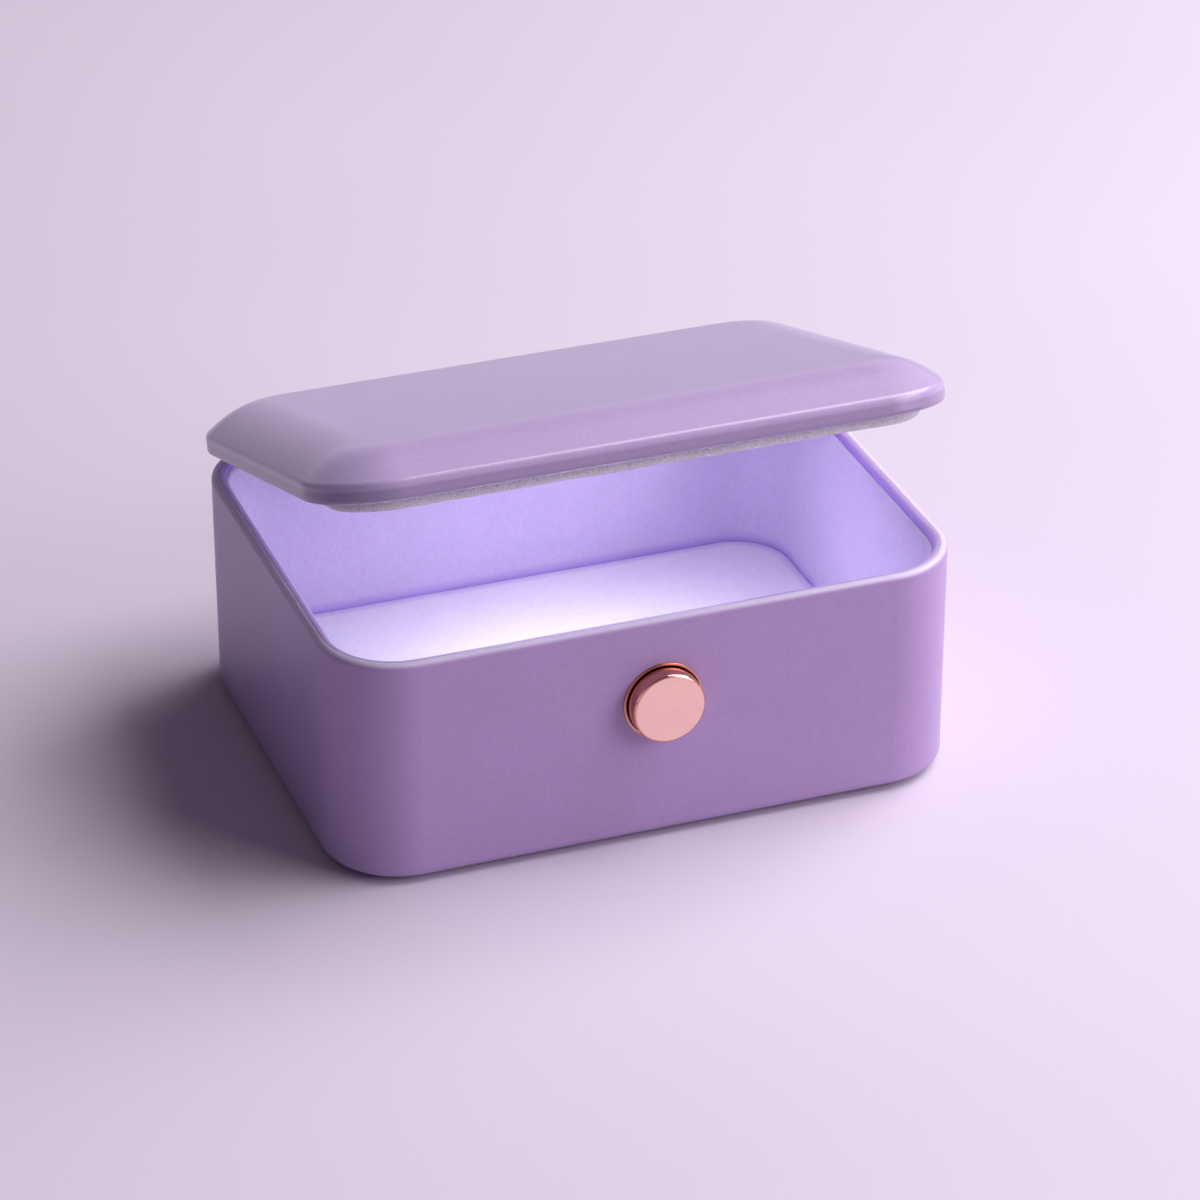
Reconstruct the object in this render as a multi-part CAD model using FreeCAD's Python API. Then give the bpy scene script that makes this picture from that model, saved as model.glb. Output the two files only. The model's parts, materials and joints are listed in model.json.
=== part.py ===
import FreeCAD
import Part
import math
import os

# A hinged box that cleans small objects with ultraviolet light, in millimetres.
# The origin is the centre of the footprint on the standing surface.
# +X is to the right seen from the front, +Y to the back, +Z up.

Vector = FreeCAD.Vector

# Shared values
OVERRUN = 2.0
FIT_GAP = 0.15
MOVE_GAP = 0.3
GLUE_GAP = 0.1
PIN_GAP = 0.03
CONTACT_TOL = 0.001

# Body shell: the outside box, its rounded edges and its support ribs
BODY_W = 180.0
BODY_D = 138.0
SHELL_H = 66.0
CORNER_R = 22.0
SHELL_WALL = 2.0
SHELL_FLOOR = 2.4
SHELL_BOTTOM_R = 2.8
RIM_OUTER_R = 1.6
RIM_SEAM_R = 0.1
RIM_SEAM_GAP = 0.06
RIB_W = 2.0
RIB_REACH = 1.0
RIB_LONG_SHARES = (-0.95, -0.36, 0.36, 0.95)
RIB_SHORT_SHARES = (-0.5, 0.5)

# Rubber feet, set into the shell floor near its corners
FOOT_R = 5.5
FOOT_STAND = 1.5
FOOT_SINK = 0.6
FOOT_EDGE_R = 0.4
FOOT_OFFSET = 9.0

# Inner tub: rim lip, walls, floor and screw bosses
LIP_H = 2.0
LIP_R = 1.8
TUB_GAP = 1.2
TUB_WALL = 0.9
TUB_FLOOR = 1.0
FLOOR_H = 9.4
BOSS_R = 3.2

# Felt lining of the chamber
LINING_T = 0.9
LINING_EDGE_R = 0.3
FLOOR_PAD_T = 1.4
FLOOR_PAD_EDGE_R = 0.6

# Base cover, set flush into the shell floor
COVER_INSET = 16.0
COVER_LAP = 4.0
COVER_T = 1.2
COVER_PLATFORM = 0.8
COVER_R = 8.0
COVER_RECESS = 0.1
SCREW_X_SHARE = 0.82
SCREW_Y_SHARE = 0.76

# Base screws
SCREW_R = 1.2
SCREW_L = 4.2
SCREW_HEAD_R = 2.2
SCREW_HEAD_H = 1.0
DRIVE_W = 0.5
DRIVE_L = 2.4
DRIVE_DEPTH = 0.55

# Battery cell on its tape
BATTERY_W = 80.0
BATTERY_D = 50.0
BATTERY_H = 3.6
BATTERY_R = 1.5
TAPE_T = 0.3
TAPE_INSET = 4.0

# Main board on posts behind the base cover
BOARD_W = 84.0
BOARD_D = 14.4
BOARD_T = 1.0
BOARD_R = 1.0
BOARD_BACK_GAP = 1.6
BOARD_POST_H = 1.5
BOARD_POST_R = 2.0
BOARD_SCREW_R = 0.8
BOARD_SCREW_HEAD_R = 1.6
BOARD_SCREW_HEAD_H = 0.7
BOARD_SCREW_EDGE = 3.0
CHIP_SIZES = ((5.0, 5.0, 0.9), (4.0, 4.0, 1.6), (3.0, 2.6, 1.0), (6.0, 3.6, 1.2))
CHIP_X_SHARES = (-0.62, -0.42, 0.3, 0.48)
CHIP_Y_SHARE = 0.15

# Small wire connectors on the boards
PLUG_W = 5.0
PLUG_D = 3.4
PLUG_H = 1.8
PLUG_X_SHARES = (-0.2, 0.72)

# Charging socket in the back wall
SOCKET_W = 8.94
SOCKET_H = 3.26
SOCKET_L = 7.4
SOCKET_WALL = 0.35
SOCKET_RECESS = 0.8
SOCKET_TONGUE_W = 6.2
SOCKET_TONGUE_H = 0.7
SOCKET_TONGUE_L = 5.0
SOCKET_GAP = 0.3

# Push button on the front wall
BUTTON_H = 41.4
BUTTON_R = 10.3
BUTTON_REACH = 5.4
BUTTON_FACE_T = 1.2
BUTTON_WALL = 1.0
BUTTON_EDGE_R = 0.9
BUTTON_TRAVEL = 0.55
BUTTON_LIP = 0.3
BUTTON_LIP_T = 0.8
BUTTON_STOP_GAP = 0.05
BUTTON_POST_R = 2.0
BEZEL_FLANGE = 0.2
BEZEL_FLANGE_T = 0.4
BEZEL_EDGE_R = 0.15
BEZEL_SHOULDER = 0.8
BEZEL_WALL = 0.25

# Push switch and its board behind the button
SWITCH_W = 6.0
SWITCH_H = 1.6
SWITCH_FLOOR = 0.2
PLUNGER_R = 1.6
PLUNGER_DEPTH = 0.7
PLUNGER_GAP = 0.1
KEY_BOARD_W = 30.0
KEY_BOARD_UP = 17.5
KEY_BOARD_DOWN = 14.0
KEY_BOARD_T = 0.7
KEY_BOARD_R = 2.0
KEY_SCREW_R = 0.6
KEY_SCREW_L = 1.2
KEY_SCREW_HEAD_R = 1.2
KEY_SCREW_HEAD_H = 0.35
KEY_SCREW_EDGE = 1.9
SENSOR_W = 3.0
SENSOR_H = 2.0
SENSOR_T = 0.4
SENSOR_EDGE = 0.8

# Magnets that hold the lid shut
MAGNET_X_SHARE = 0.7
BODY_MAGNET_L = 12.0
BODY_MAGNET_H = 6.0
BODY_MAGNET_T = 0.9
LID_MAGNET_L = 12.0
LID_MAGNET_W = 2.6
LID_MAGNET_H = 1.5
LID_MAGNET_INSET = 5.6

# Hinge line behind and above the rim
HINGE_BACK = 2.6
HINGE_UP = 1.7
HINGE_X_SHARE = 0.65
BARREL_R = 2.8
LID_BARREL_L = 12.0
BODY_BARREL_L = 11.0
HINGE_BRACE_H = 13.0
PIN_R = 1.2
PIN_BORE_R = 0.75
SLEEVE_T = 0.3
SLEEVE_L = 4.0
LID_REST_DEG = 18.5

# Lid shell: edge band and soft crown
LID_OVERHANG = 0.5
LID_GAP = 0.5
LID_BAND_H = 5.2
LID_RUN = 18.5
LID_SLOPE_DEG = 31.0
LID_SHOULDER_R = 18.0
LID_WALL = 1.8
LID_TOP_T = 2.0
LID_BOTTOM_R = 1.2
LID_EDGE_R = 1.7
CROWN_SLOPE_SHARES = (0.0, 0.5)
CROWN_SHOULDER_SHARES = (0.0, 0.25, 0.5, 0.75, 1.0)
CROWN_END_SHARES = (1.0, 0.695, 0.815, 0.88, 0.925, 0.96, 1.0)
CROWN_CORNER_SHARE = 0.8
LID_BOSS_R = 2.8

# Lid inner panel and its screws
PANEL_T = 1.6
PANEL_RECESS = 0.3
PANEL_SCREW_R = 0.9
PANEL_SCREW_L = 5.0
PANEL_SCREW_HEAD_R = 2.0
PANEL_SCREW_HEAD_H = 0.8
PANEL_SCREW_SHARES = ((-0.86, -0.78), (0.0, -0.78), (0.86, -0.78), (-0.86, 0.78), (0.0, 0.78), (0.86, 0.78))

# Felt pad under the lid
LID_PAD_INSET = 7.0
LID_PAD_T = 4.0
LID_PAD_EDGE_R = 1.8
LID_PAD_BORDER = 5.0

# Soft bumpers under the lid edge
BUMPER_R = 1.0
BUMPER_GAP = 0.05
BUMPER_X_SHARE = 0.45
BUMPER_INSET = 3.0

# Light window, reflector and light board in the lid
WINDOW_W = 104.0
WINDOW_D = 26.0
WINDOW_R = 8.0
WINDOW_SEAT = 2.5
WINDOW_T = 1.5
WINDOW_SEAT_T = 0.8
REFLECTOR_H = 4.0
REFLECTOR_RIM = 1.2
REFLECTOR_SLOT_D = 8.0
LIGHT_BOARD_END = 10.8
LIGHT_BOARD_D = 20.0
LIGHT_BOARD_T = 1.2
LIGHT_BOARD_R = 2.0
LIGHT_SCREW_EDGE = 4.0
LED_COUNT = 6
LED_W = 3.6
LED_H = 1.3
LED_END_GAP = 5.7

# Wire leads
LEAD_R = 0.45
LEAD_BEND = 2.0
LEAD_TIGHT_BEND = 1.1
LEAD_LIFT = 0.15
LEAD_BORE_R = 0.85
LEAD_SIDE_RUN = 8.0
LEAD_SLOT_DEG = 15.0
LEAD_SLOT_REACH = 2.5
LEAD_SLOT_H = 1.6

# Levels and insets that follow from the values above
SHELL_BOTTOM = FOOT_STAND
RIM_Z = SHELL_BOTTOM + SHELL_H
SHELL_FLOOR_Z = SHELL_BOTTOM + SHELL_FLOOR
LIP_Z = RIM_Z - LIP_H
TUB_OUT = SHELL_WALL + TUB_GAP
TUB_IN = TUB_OUT + TUB_WALL
LINING_OUT = TUB_IN + GLUE_GAP
LINING_IN = LINING_OUT + LINING_T
PAD_TOP_Z = SHELL_BOTTOM + FLOOR_H
TUB_FLOOR_Z = PAD_TOP_Z - FLOOR_PAD_T
TUB_BOTTOM_Z = TUB_FLOOR_Z - TUB_FLOOR
COVER_Z = SHELL_BOTTOM + COVER_RECESS
COVER_SEAT_Z = COVER_Z + COVER_T
COVER_TOP_Z = COVER_SEAT_Z + COVER_PLATFORM
FRONT_Y = -BODY_D / 2
BACK_Y = BODY_D / 2
STRAIGHT_X = BODY_W / 2 - CORNER_R
STRAIGHT_Y = BODY_D / 2 - CORNER_R
SCREW_X = SCREW_X_SHARE * (BODY_W / 2 - COVER_INSET)
SCREW_Y = SCREW_Y_SHARE * (BODY_D / 2 - COVER_INSET)
BOARD_Z = SHELL_FLOOR_Z + BOARD_POST_H
BOARD_TOP_Z = BOARD_Z + BOARD_T
BOARD_BACK_Y = BACK_Y - SHELL_WALL - BOARD_BACK_GAP
BOARD_Y = BOARD_BACK_Y - BOARD_D / 2
SOCKET_Z = BOARD_Z + BOARD_T / 2
SOCKET_FRONT_Y = BACK_Y - SOCKET_RECESS
LEAD_Z = SHELL_FLOOR_Z + LEAD_LIFT + LEAD_R
LEAD_GAP_INSET = SHELL_WALL + TUB_GAP / 2
BUTTON_Z = SHELL_BOTTOM + BUTTON_H
BUTTON_FRONT_Y = FRONT_Y - BUTTON_REACH
BEZEL_BORE_R = BUTTON_R + MOVE_GAP
BEZEL_REAR_R = BUTTON_R + BUTTON_LIP + MOVE_GAP
BEZEL_R = BEZEL_REAR_R + BEZEL_WALL
KEY_BOARD_Y = FRONT_Y + SHELL_WALL
SWITCH_TOP_Y = KEY_BOARD_Y - SWITCH_H
PLUNGER_TOP_Y = SWITCH_TOP_Y - BUTTON_TRAVEL - BUTTON_STOP_GAP
BUTTON_SHOULDER_Y = FRONT_Y - BEZEL_FLANGE_T + BEZEL_SHOULDER
KEY_BOTTOM_Z = BUTTON_Z - KEY_BOARD_DOWN
MAGNET_X = MAGNET_X_SHARE * STRAIGHT_X
AXIS_Y = BACK_Y + HINGE_BACK
AXIS_Z = RIM_Z + HINGE_UP
HINGE_X = HINGE_X_SHARE * STRAIGHT_X
SLEEVE_R = PIN_R + PIN_GAP + SLEEVE_T
KNUCKLE_BORE_R = SLEEVE_R + PIN_GAP
INNER_BARREL_X = HINGE_X - LID_BARREL_L / 2 - MOVE_GAP - BODY_BARREL_L
OUTER_BARREL_X = HINGE_X + LID_BARREL_L / 2 + MOVE_GAP
PIN_START_X = OUTER_BARREL_X - MOVE_GAP - LID_BARREL_L - MOVE_GAP - SLEEVE_L
PIN_END_X = OUTER_BARREL_X + SLEEVE_L
LEAD_X = PIN_END_X + (BODY_BARREL_L - SLEEVE_L) / 2
LID_W = BODY_W + 2 * LID_OVERHANG
LID_D = BODY_D + 2 * LID_OVERHANG
LID_R = CORNER_R + LID_OVERHANG
LID_Z = RIM_Z + LID_GAP
BAND_Z = LID_Z + LID_BAND_H
LID_SLOPE = math.radians(LID_SLOPE_DEG)
SHOULDER_RUN = LID_SHOULDER_R * math.sin(LID_SLOPE)
SHOULDER_RISE = LID_SHOULDER_R * (1 - math.cos(LID_SLOPE))
SLOPE_RUN = LID_RUN - SHOULDER_RUN
LID_TOP_Z = BAND_Z + SLOPE_RUN * math.tan(LID_SLOPE) + SHOULDER_RISE
PANEL_Z = LID_Z + PANEL_RECESS
PANEL_TOP_Z = PANEL_Z + PANEL_T
PANEL_INSET = LID_WALL + FIT_GAP
PANEL_W = LID_W - 2 * PANEL_INSET
PANEL_D = LID_D - 2 * PANEL_INSET
LEAD_SLOT_L = HINGE_BACK - LID_OVERHANG + LID_WALL + LEAD_SLOT_REACH
WINDOW_Z = PANEL_Z + WINDOW_SEAT_T
WINDOW_TOP_Z = WINDOW_Z + WINDOW_T
LIGHT_BOARD_Z = WINDOW_TOP_Z + REFLECTOR_H
LIGHT_BOARD_TOP_Z = LIGHT_BOARD_Z + LIGHT_BOARD_T
REFLECTOR_W = WINDOW_W + 2 * REFLECTOR_RIM
REFLECTOR_SLOT_W = WINDOW_W - (WINDOW_D - REFLECTOR_SLOT_D) / 2
LIGHT_BOARD_W = REFLECTOR_W + 2 * LIGHT_BOARD_END
LIGHT_SCREW_X = LIGHT_BOARD_W / 2 - LIGHT_SCREW_EDGE
LED_PITCH = (REFLECTOR_SLOT_W - LED_W - 2 * LED_END_GAP) / (LED_COUNT - 1)


# Basic shapes
def rounded_outline(width, depth, radius, z):
    """Closed outline of a rectangle with round corners, centred on the Z axis."""
    x = width / 2 - radius
    y = depth / 2 - radius
    half = radius * math.sqrt(0.5)
    corners = ((x, y, 1, 1), (-x, y, -1, 1), (-x, -y, -1, -1), (x, -y, 1, -1))
    starts, arcs, ends = [], [], []
    for cx, cy, sx, sy in corners:
        along_x = Vector(cx + sx * radius, cy, z)
        along_y = Vector(cx, cy + sy * radius, z)
        middle = Vector(cx + sx * half, cy + sy * half, z)
        first, last = (along_x, along_y) if sx == sy else (along_y, along_x)
        starts.append(first)
        ends.append(last)
        arcs.append(Part.Arc(first, middle, last).toShape())
    edges = []
    for index, arc in enumerate(arcs):
        edges.append(arc)
        edges.append(Part.LineSegment(ends[index], starts[(index + 1) % len(arcs)]).toShape())
    return Part.Wire(edges)


def rounded_block(width, depth, radius, bottom, top, x=0, y=0):
    """Upright block with round corners between two levels."""
    face = Part.Face(rounded_outline(width, depth, radius, bottom))
    block = face.extrude(Vector(0, 0, top - bottom))
    block.translate(Vector(x, y, 0))
    return block


def body_block(inset, bottom, top):
    """Block that follows the body outline at an inset from the outside."""
    return rounded_block(BODY_W - 2 * inset, BODY_D - 2 * inset, CORNER_R - inset, bottom, top)


def box(x0, x1, y0, y1, z0, z1):
    return Part.makeBox(x1 - x0, y1 - y0, z1 - z0, Vector(x0, y0, z0))


def rod_x(radius, x0, x1, y, z):
    return Part.makeCylinder(radius, x1 - x0, Vector(x0, y, z), Vector(1, 0, 0))


def rod_y(radius, y0, y1, x, z):
    return Part.makeCylinder(radius, y1 - y0, Vector(x, y0, z), Vector(0, 1, 0))


def rod_z(radius, z0, z1, x, y):
    return Part.makeCylinder(radius, z1 - z0, Vector(x, y, z0), Vector(0, 0, 1))


def joined(shapes):
    """One solid made of shapes that overlap."""
    return shapes[0].multiFuse(shapes[1:]).removeSplitter()


def group(shapes):
    """Separate solids that share one node."""
    return Part.makeCompound(shapes)


def mirrored(shape):
    return shape.mirror(Vector(0, 0, 0), Vector(1, 0, 0))


def both_sides(shape):
    return [mirrored(shape), shape]


def outline_distance(point, width, depth, radius):
    """How far a point lies outside a rounded outline, negative inside."""
    dx = abs(point.x) - (width / 2 - radius)
    dy = abs(point.y) - (depth / 2 - radius)
    return math.hypot(max(dx, 0), max(dy, 0)) + min(max(dx, dy), 0) - radius


def edges_on_outline(shape, width, depth, radius, z):
    """Edges of a shape that run along a rounded outline at one level."""
    found = []
    for edge in shape.Edges:
        middle = edge.valueAt((edge.FirstParameter + edge.LastParameter) / 2)
        level = abs(edge.BoundBox.ZMin - z) + abs(edge.BoundBox.ZMax - z)
        along = abs(outline_distance(middle, width, depth, radius))
        if level < CONTACT_TOL and along < CONTACT_TOL:
            found.append(edge)
    return found


def rounded_at(shape, amount, inset, z):
    """Round the edges that follow the body outline at an inset and level."""
    edges = edges_on_outline(shape, BODY_W - 2 * inset, BODY_D - 2 * inset, CORNER_R - inset, z)
    return shape.makeFillet(amount, edges)


def turned(points):
    """Solid turned about the button's axis from points of radius and Y."""
    corners = [Vector(radius, y, BUTTON_Z) for radius, y in points]
    face = Part.Face(Part.makePolygon(corners + corners[:1]))
    return face.revolve(Vector(0, 0, BUTTON_Z), Vector(0, 1, 0), 360)


def circles_at(shape, radius, y):
    """Circular edges of a turned solid with one radius and place."""
    found = []
    for edge in shape.Edges:
        round_edge = isinstance(edge.Curve, Part.Circle)
        if round_edge and abs(edge.Curve.Radius - radius) + abs(edge.BoundBox.Center.y - y) < CONTACT_TOL:
            found.append(edge)
    return found


def screw(radius, length, head_radius, head_height):
    """Screw along Z, with its head below zero and a cross recess."""
    shank = rod_z(radius, 0, length, 0, 0)
    head = rod_z(head_radius, -head_height, 0, 0, 0)
    depth = DRIVE_DEPTH * head_height / SCREW_HEAD_H
    reach = DRIVE_L / 2 * head_radius / SCREW_HEAD_R
    half = DRIVE_W / 2 * head_radius / SCREW_HEAD_R
    low = -head_height - OVERRUN
    cross = box(-reach, reach, -half, half, low, depth - head_height)
    cross = cross.fuse(box(-half, half, -reach, reach, low, depth - head_height))
    return joined([shank, head]).cut(cross)


def placed(shape, x, y, z):
    copy = shape.copy()
    copy.translate(Vector(x, y, z))
    return copy


def lid_open(shape):
    """Turn a lid piece about the hinge line from closed to its rest angle."""
    copy = shape.copy()
    copy.rotate(Vector(0, AXIS_Y, AXIS_Z), Vector(1, 0, 0), -LID_REST_DEG)
    return copy


def lead(points, bends, name):
    """Round wire along straight runs joined by tangent arcs."""
    corners = [Vector(*point) for point in points]
    edges = []
    start = corners[0]
    for index, bend in enumerate(bends):
        corner = corners[index + 1]
        towards = (corners[index] - corner).normalize()
        onward = (corners[index + 2] - corner).normalize()
        half_angle = towards.getAngle(onward) / 2
        reach = bend / math.tan(half_angle)
        inward = (towards + onward).normalize()
        middle = corner + inward * (bend / math.sin(half_angle) - bend)
        first = corner + towards * reach
        last = corner + onward * reach
        edges.append(Part.LineSegment(start, first).toShape())
        edges.append(Part.Arc(first, middle, last).toShape())
        start = last
    edges.append(Part.LineSegment(start, corners[-1]).toShape())
    path = Part.Wire(edges)
    direction = corners[1] - corners[0]
    section = Part.Wire(Part.makeCircle(LEAD_R, corners[0], direction))
    tube = path.makePipeShell([section], True, False)
    expected = math.pi * LEAD_R ** 2 * path.Length
    print(name, "bends", bends, "volume share", round(tube.Volume / expected, 4))
    return tube


# Body shell
def hinge_brace(x0, x1):
    """Body knuckle with the brace that carries it on the back wall."""
    inside = BACK_Y - SHELL_WALL / 2
    low = RIM_Z - HINGE_BRACE_H
    corners = [
        Vector(x0, inside, low),
        Vector(x0, BACK_Y, low),
        Vector(x0, AXIS_Y + BARREL_R, AXIS_Z),
        Vector(x0, AXIS_Y, AXIS_Z),
        Vector(x0, inside, RIM_Z - RIM_OUTER_R),
    ]
    brace = Part.Face(Part.makePolygon(corners + corners[:1])).extrude(Vector(x1 - x0, 0, 0))
    return joined([brace, rod_x(BARREL_R, x0, x1, AXIS_Y, AXIS_Z)])


def support_ribs():
    """Ribs inside the walls on which the tub's lip rests."""
    ribs = []
    half = RIB_W / 2
    root = SHELL_WALL / 2
    tip = SHELL_WALL + RIB_REACH
    for share in RIB_LONG_SHARES:
        x = share * STRAIGHT_X
        ribs.append(box(x - half, x + half, FRONT_Y + root, FRONT_Y + tip, SHELL_FLOOR_Z, LIP_Z))
        ribs.append(box(x - half, x + half, BACK_Y - tip, BACK_Y - root, SHELL_FLOOR_Z, LIP_Z))
    for share in RIB_SHORT_SHARES:
        y = share * STRAIGHT_Y
        for side in (-1, 1):
            edges = sorted((side * (BODY_W / 2 - root), side * (BODY_W / 2 - tip)))
            ribs.append(box(edges[0], edges[1], y - half, y + half, SHELL_FLOOR_Z, LIP_Z))
    return ribs


def board_screw_places():
    x = BOARD_W / 2 - BOARD_SCREW_EDGE
    y = BOARD_D / 2 - BOARD_SCREW_EDGE
    return [(sx * x, BOARD_Y + sy * y) for sx in (-1, 1) for sy in (-1, 1)]


def key_screw_places():
    x = KEY_BOARD_W / 2 - KEY_SCREW_EDGE
    low = KEY_BOTTOM_Z + KEY_SCREW_EDGE
    return [(-x, low), (x, low)]


def foot_places():
    x = STRAIGHT_X + FOOT_OFFSET
    y = STRAIGHT_Y + FOOT_OFFSET
    return [(sx * x, sy * y) for sx in (-1, 1) for sy in (-1, 1)]


def lead_bore():
    """Slanted passage from the wall gap up into the right hinge knuckle."""
    top = Vector(LEAD_X, AXIS_Y, AXIS_Z)
    bottom = Vector(LEAD_X, BACK_Y - LEAD_GAP_INSET, RIM_Z - HINGE_BRACE_H)
    return Part.makeCylinder(LEAD_BORE_R, (bottom - top).Length, top, bottom - top)


def shell_cuts():
    """Everything that is cut out of the shell's walls and floor."""
    below = SHELL_BOTTOM - OVERRUN
    lap = COVER_INSET + COVER_LAP
    cuts = [
        rounded_block(BODY_W - 2 * lap, BODY_D - 2 * lap, COVER_R, below, SHELL_FLOOR_Z + OVERRUN),
        rounded_block(
            BODY_W - 2 * COVER_INSET + 2 * FIT_GAP, BODY_D - 2 * COVER_INSET + 2 * FIT_GAP,
            COVER_R + COVER_LAP, below, COVER_SEAT_Z,
        ),
        rod_y(BEZEL_R + GLUE_GAP, FRONT_Y - OVERRUN, KEY_BOARD_Y + OVERRUN, 0, BUTTON_Z),
        socket_block(SOCKET_GAP, BACK_Y - SHELL_WALL - OVERRUN, BACK_Y + OVERRUN),
        lead_bore(),
    ]
    for x, y in foot_places():
        cuts.append(rod_z(FOOT_R + GLUE_GAP, below, SHELL_BOTTOM + FOOT_SINK, x, y))
    for x, y in board_screw_places():
        cuts.append(rod_z(BOARD_SCREW_R, SHELL_FLOOR_Z - BOARD_POST_H / 2, BOARD_Z + OVERRUN, x, y))
    for x, z in key_screw_places():
        cuts.append(rod_y(KEY_SCREW_R, KEY_BOARD_Y - KEY_SCREW_L, KEY_BOARD_Y + OVERRUN, x, z))
    notch_r = BARREL_R + MOVE_GAP
    half = LID_BARREL_L / 2 + MOVE_GAP
    notch = rod_x(notch_r, HINGE_X - half, HINGE_X + half, AXIS_Y, AXIS_Z)
    bore_end = LEAD_X + KNUCKLE_BORE_R
    bore = rod_x(KNUCKLE_BORE_R, PIN_START_X - MOVE_GAP, bore_end, AXIS_Y, AXIS_Z)
    return cuts + both_sides(notch) + both_sides(bore)


def body_shell():
    shell = body_block(0, SHELL_BOTTOM, RIM_Z)
    shell = rounded_at(shell, SHELL_BOTTOM_R, 0, SHELL_BOTTOM)
    shell = rounded_at(shell, RIM_OUTER_R, 0, RIM_Z)
    shell = shell.cut(body_block(SHELL_WALL, SHELL_FLOOR_Z, RIM_Z + OVERRUN))
    shell = rounded_at(shell, RIM_SEAM_R, SHELL_WALL, RIM_Z)
    braces = []
    for x0 in (INNER_BARREL_X, OUTER_BARREL_X):
        braces += both_sides(hinge_brace(x0, x0 + BODY_BARREL_L))
    posts = [rod_z(BOARD_POST_R, SHELL_FLOOR_Z, BOARD_Z, x, y) for x, y in board_screw_places()]
    shell = joined([shell] + support_ribs() + braces + posts)
    for cut in shell_cuts():
        shell = shell.cut(cut)
    return shell


# Chamber
def inner_tub():
    lip_out = SHELL_WALL + RIM_SEAM_GAP
    tub = body_block(lip_out, LIP_Z, RIM_Z)
    tub = tub.fuse(body_block(TUB_OUT, TUB_BOTTOM_Z, RIM_Z)).removeSplitter()
    tub = tub.cut(body_block(TUB_IN, TUB_FLOOR_Z, RIM_Z + OVERRUN))
    tub = rounded_at(tub, LIP_R, TUB_IN, RIM_Z)
    tub = rounded_at(tub, RIM_SEAM_R, lip_out, RIM_Z)
    bosses = []
    for x, y in screw_places():
        bosses.append(rod_z(BOSS_R, COVER_TOP_Z, TUB_FLOOR_Z, x, y))
    tub = joined([tub] + bosses)
    for x, y in screw_places():
        tub = tub.cut(rod_z(SCREW_R, COVER_TOP_Z - OVERRUN, TUB_FLOOR_Z - TUB_FLOOR / 2, x, y))
    return tub


def screw_places():
    return [(sx * SCREW_X, sy * SCREW_Y) for sx in (-1, 1) for sy in (-1, 1)]


def wall_lining():
    lining = body_block(LINING_OUT, TUB_FLOOR_Z, LIP_Z)
    lining = lining.cut(body_block(LINING_IN, TUB_FLOOR_Z - OVERRUN, LIP_Z + OVERRUN))
    return rounded_at(lining, LINING_EDGE_R, LINING_IN, LIP_Z)


def floor_pad():
    inset = LINING_IN + FIT_GAP
    pad = body_block(inset, TUB_FLOOR_Z, PAD_TOP_Z)
    return rounded_at(pad, FLOOR_PAD_EDGE_R, inset, PAD_TOP_Z)


# Underside
def base_cover():
    lap = COVER_INSET + COVER_LAP + FIT_GAP
    plate = rounded_block(
        BODY_W - 2 * COVER_INSET, BODY_D - 2 * COVER_INSET, COVER_R + COVER_LAP, COVER_Z, COVER_SEAT_Z,
    )
    platform = rounded_block(BODY_W - 2 * lap, BODY_D - 2 * lap, COVER_R, COVER_Z, COVER_TOP_Z)
    cover = joined([plate, platform])
    for x, y in screw_places():
        cover = cover.cut(rod_z(SCREW_R + FIT_GAP, COVER_Z - OVERRUN, COVER_TOP_Z + OVERRUN, x, y))
        cover = cover.cut(rod_z(SCREW_HEAD_R + FIT_GAP, COVER_Z - OVERRUN, COVER_SEAT_Z, x, y))
    return cover


def base_screws():
    one = screw(SCREW_R, SCREW_L, SCREW_HEAD_R, SCREW_HEAD_H)
    return group([placed(one, x, y, COVER_SEAT_Z) for x, y in screw_places()])


def rubber_feet():
    foot = rod_z(FOOT_R, 0, SHELL_BOTTOM + FOOT_SINK, 0, 0)
    bottom = [edge for edge in foot.Edges if edge.BoundBox.ZMax < CONTACT_TOL]
    foot = foot.makeFillet(FOOT_EDGE_R, bottom)
    return group([placed(foot, x, y, 0) for x, y in foot_places()])


# Electronics under the chamber floor
def battery_tape():
    width = BATTERY_W - 2 * TAPE_INSET
    depth = BATTERY_D - 2 * TAPE_INSET
    return rounded_block(width, depth, BATTERY_R, COVER_TOP_Z, COVER_TOP_Z + TAPE_T)


def battery_cell():
    bottom = COVER_TOP_Z + TAPE_T
    cell = rounded_block(BATTERY_W, BATTERY_D, BATTERY_R, bottom, bottom + BATTERY_H)
    edges = edges_on_outline(cell, BATTERY_W, BATTERY_D, BATTERY_R, bottom + BATTERY_H)
    return cell.makeFillet(BATTERY_R / 2, edges)


def main_board():
    board = rounded_block(BOARD_W, BOARD_D, BOARD_R, BOARD_Z, BOARD_TOP_Z, 0, BOARD_Y)
    for x, y in board_screw_places():
        board = board.cut(rod_z(BOARD_SCREW_R + FIT_GAP, BOARD_Z - OVERRUN, BOARD_TOP_Z + OVERRUN, x, y))
    half = SOCKET_W / 2 + FIT_GAP
    front = SOCKET_FRONT_Y - SOCKET_L
    return board.cut(box(-half, half, front, BACK_Y, BOARD_Z - OVERRUN, BOARD_TOP_Z + OVERRUN))


def board_chips():
    chips = []
    for share, (width, depth, height) in zip(CHIP_X_SHARES, CHIP_SIZES):
        x = share * BOARD_W / 2
        y = BOARD_Y + CHIP_Y_SHARE * BOARD_D
        chips.append(box(
            x - width / 2, x + width / 2, y - depth / 2, y + depth / 2, BOARD_TOP_Z, BOARD_TOP_Z + height,
        ))
    return group(chips)


def plug_front_y():
    return BOARD_Y - BOARD_D / 2 + FIT_GAP


def plug_places():
    """X of the connectors on the front edge of the main board."""
    return [share * BOARD_W / 2 for share in PLUG_X_SHARES]


def side_plug_y():
    return BOARD_Y


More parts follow.
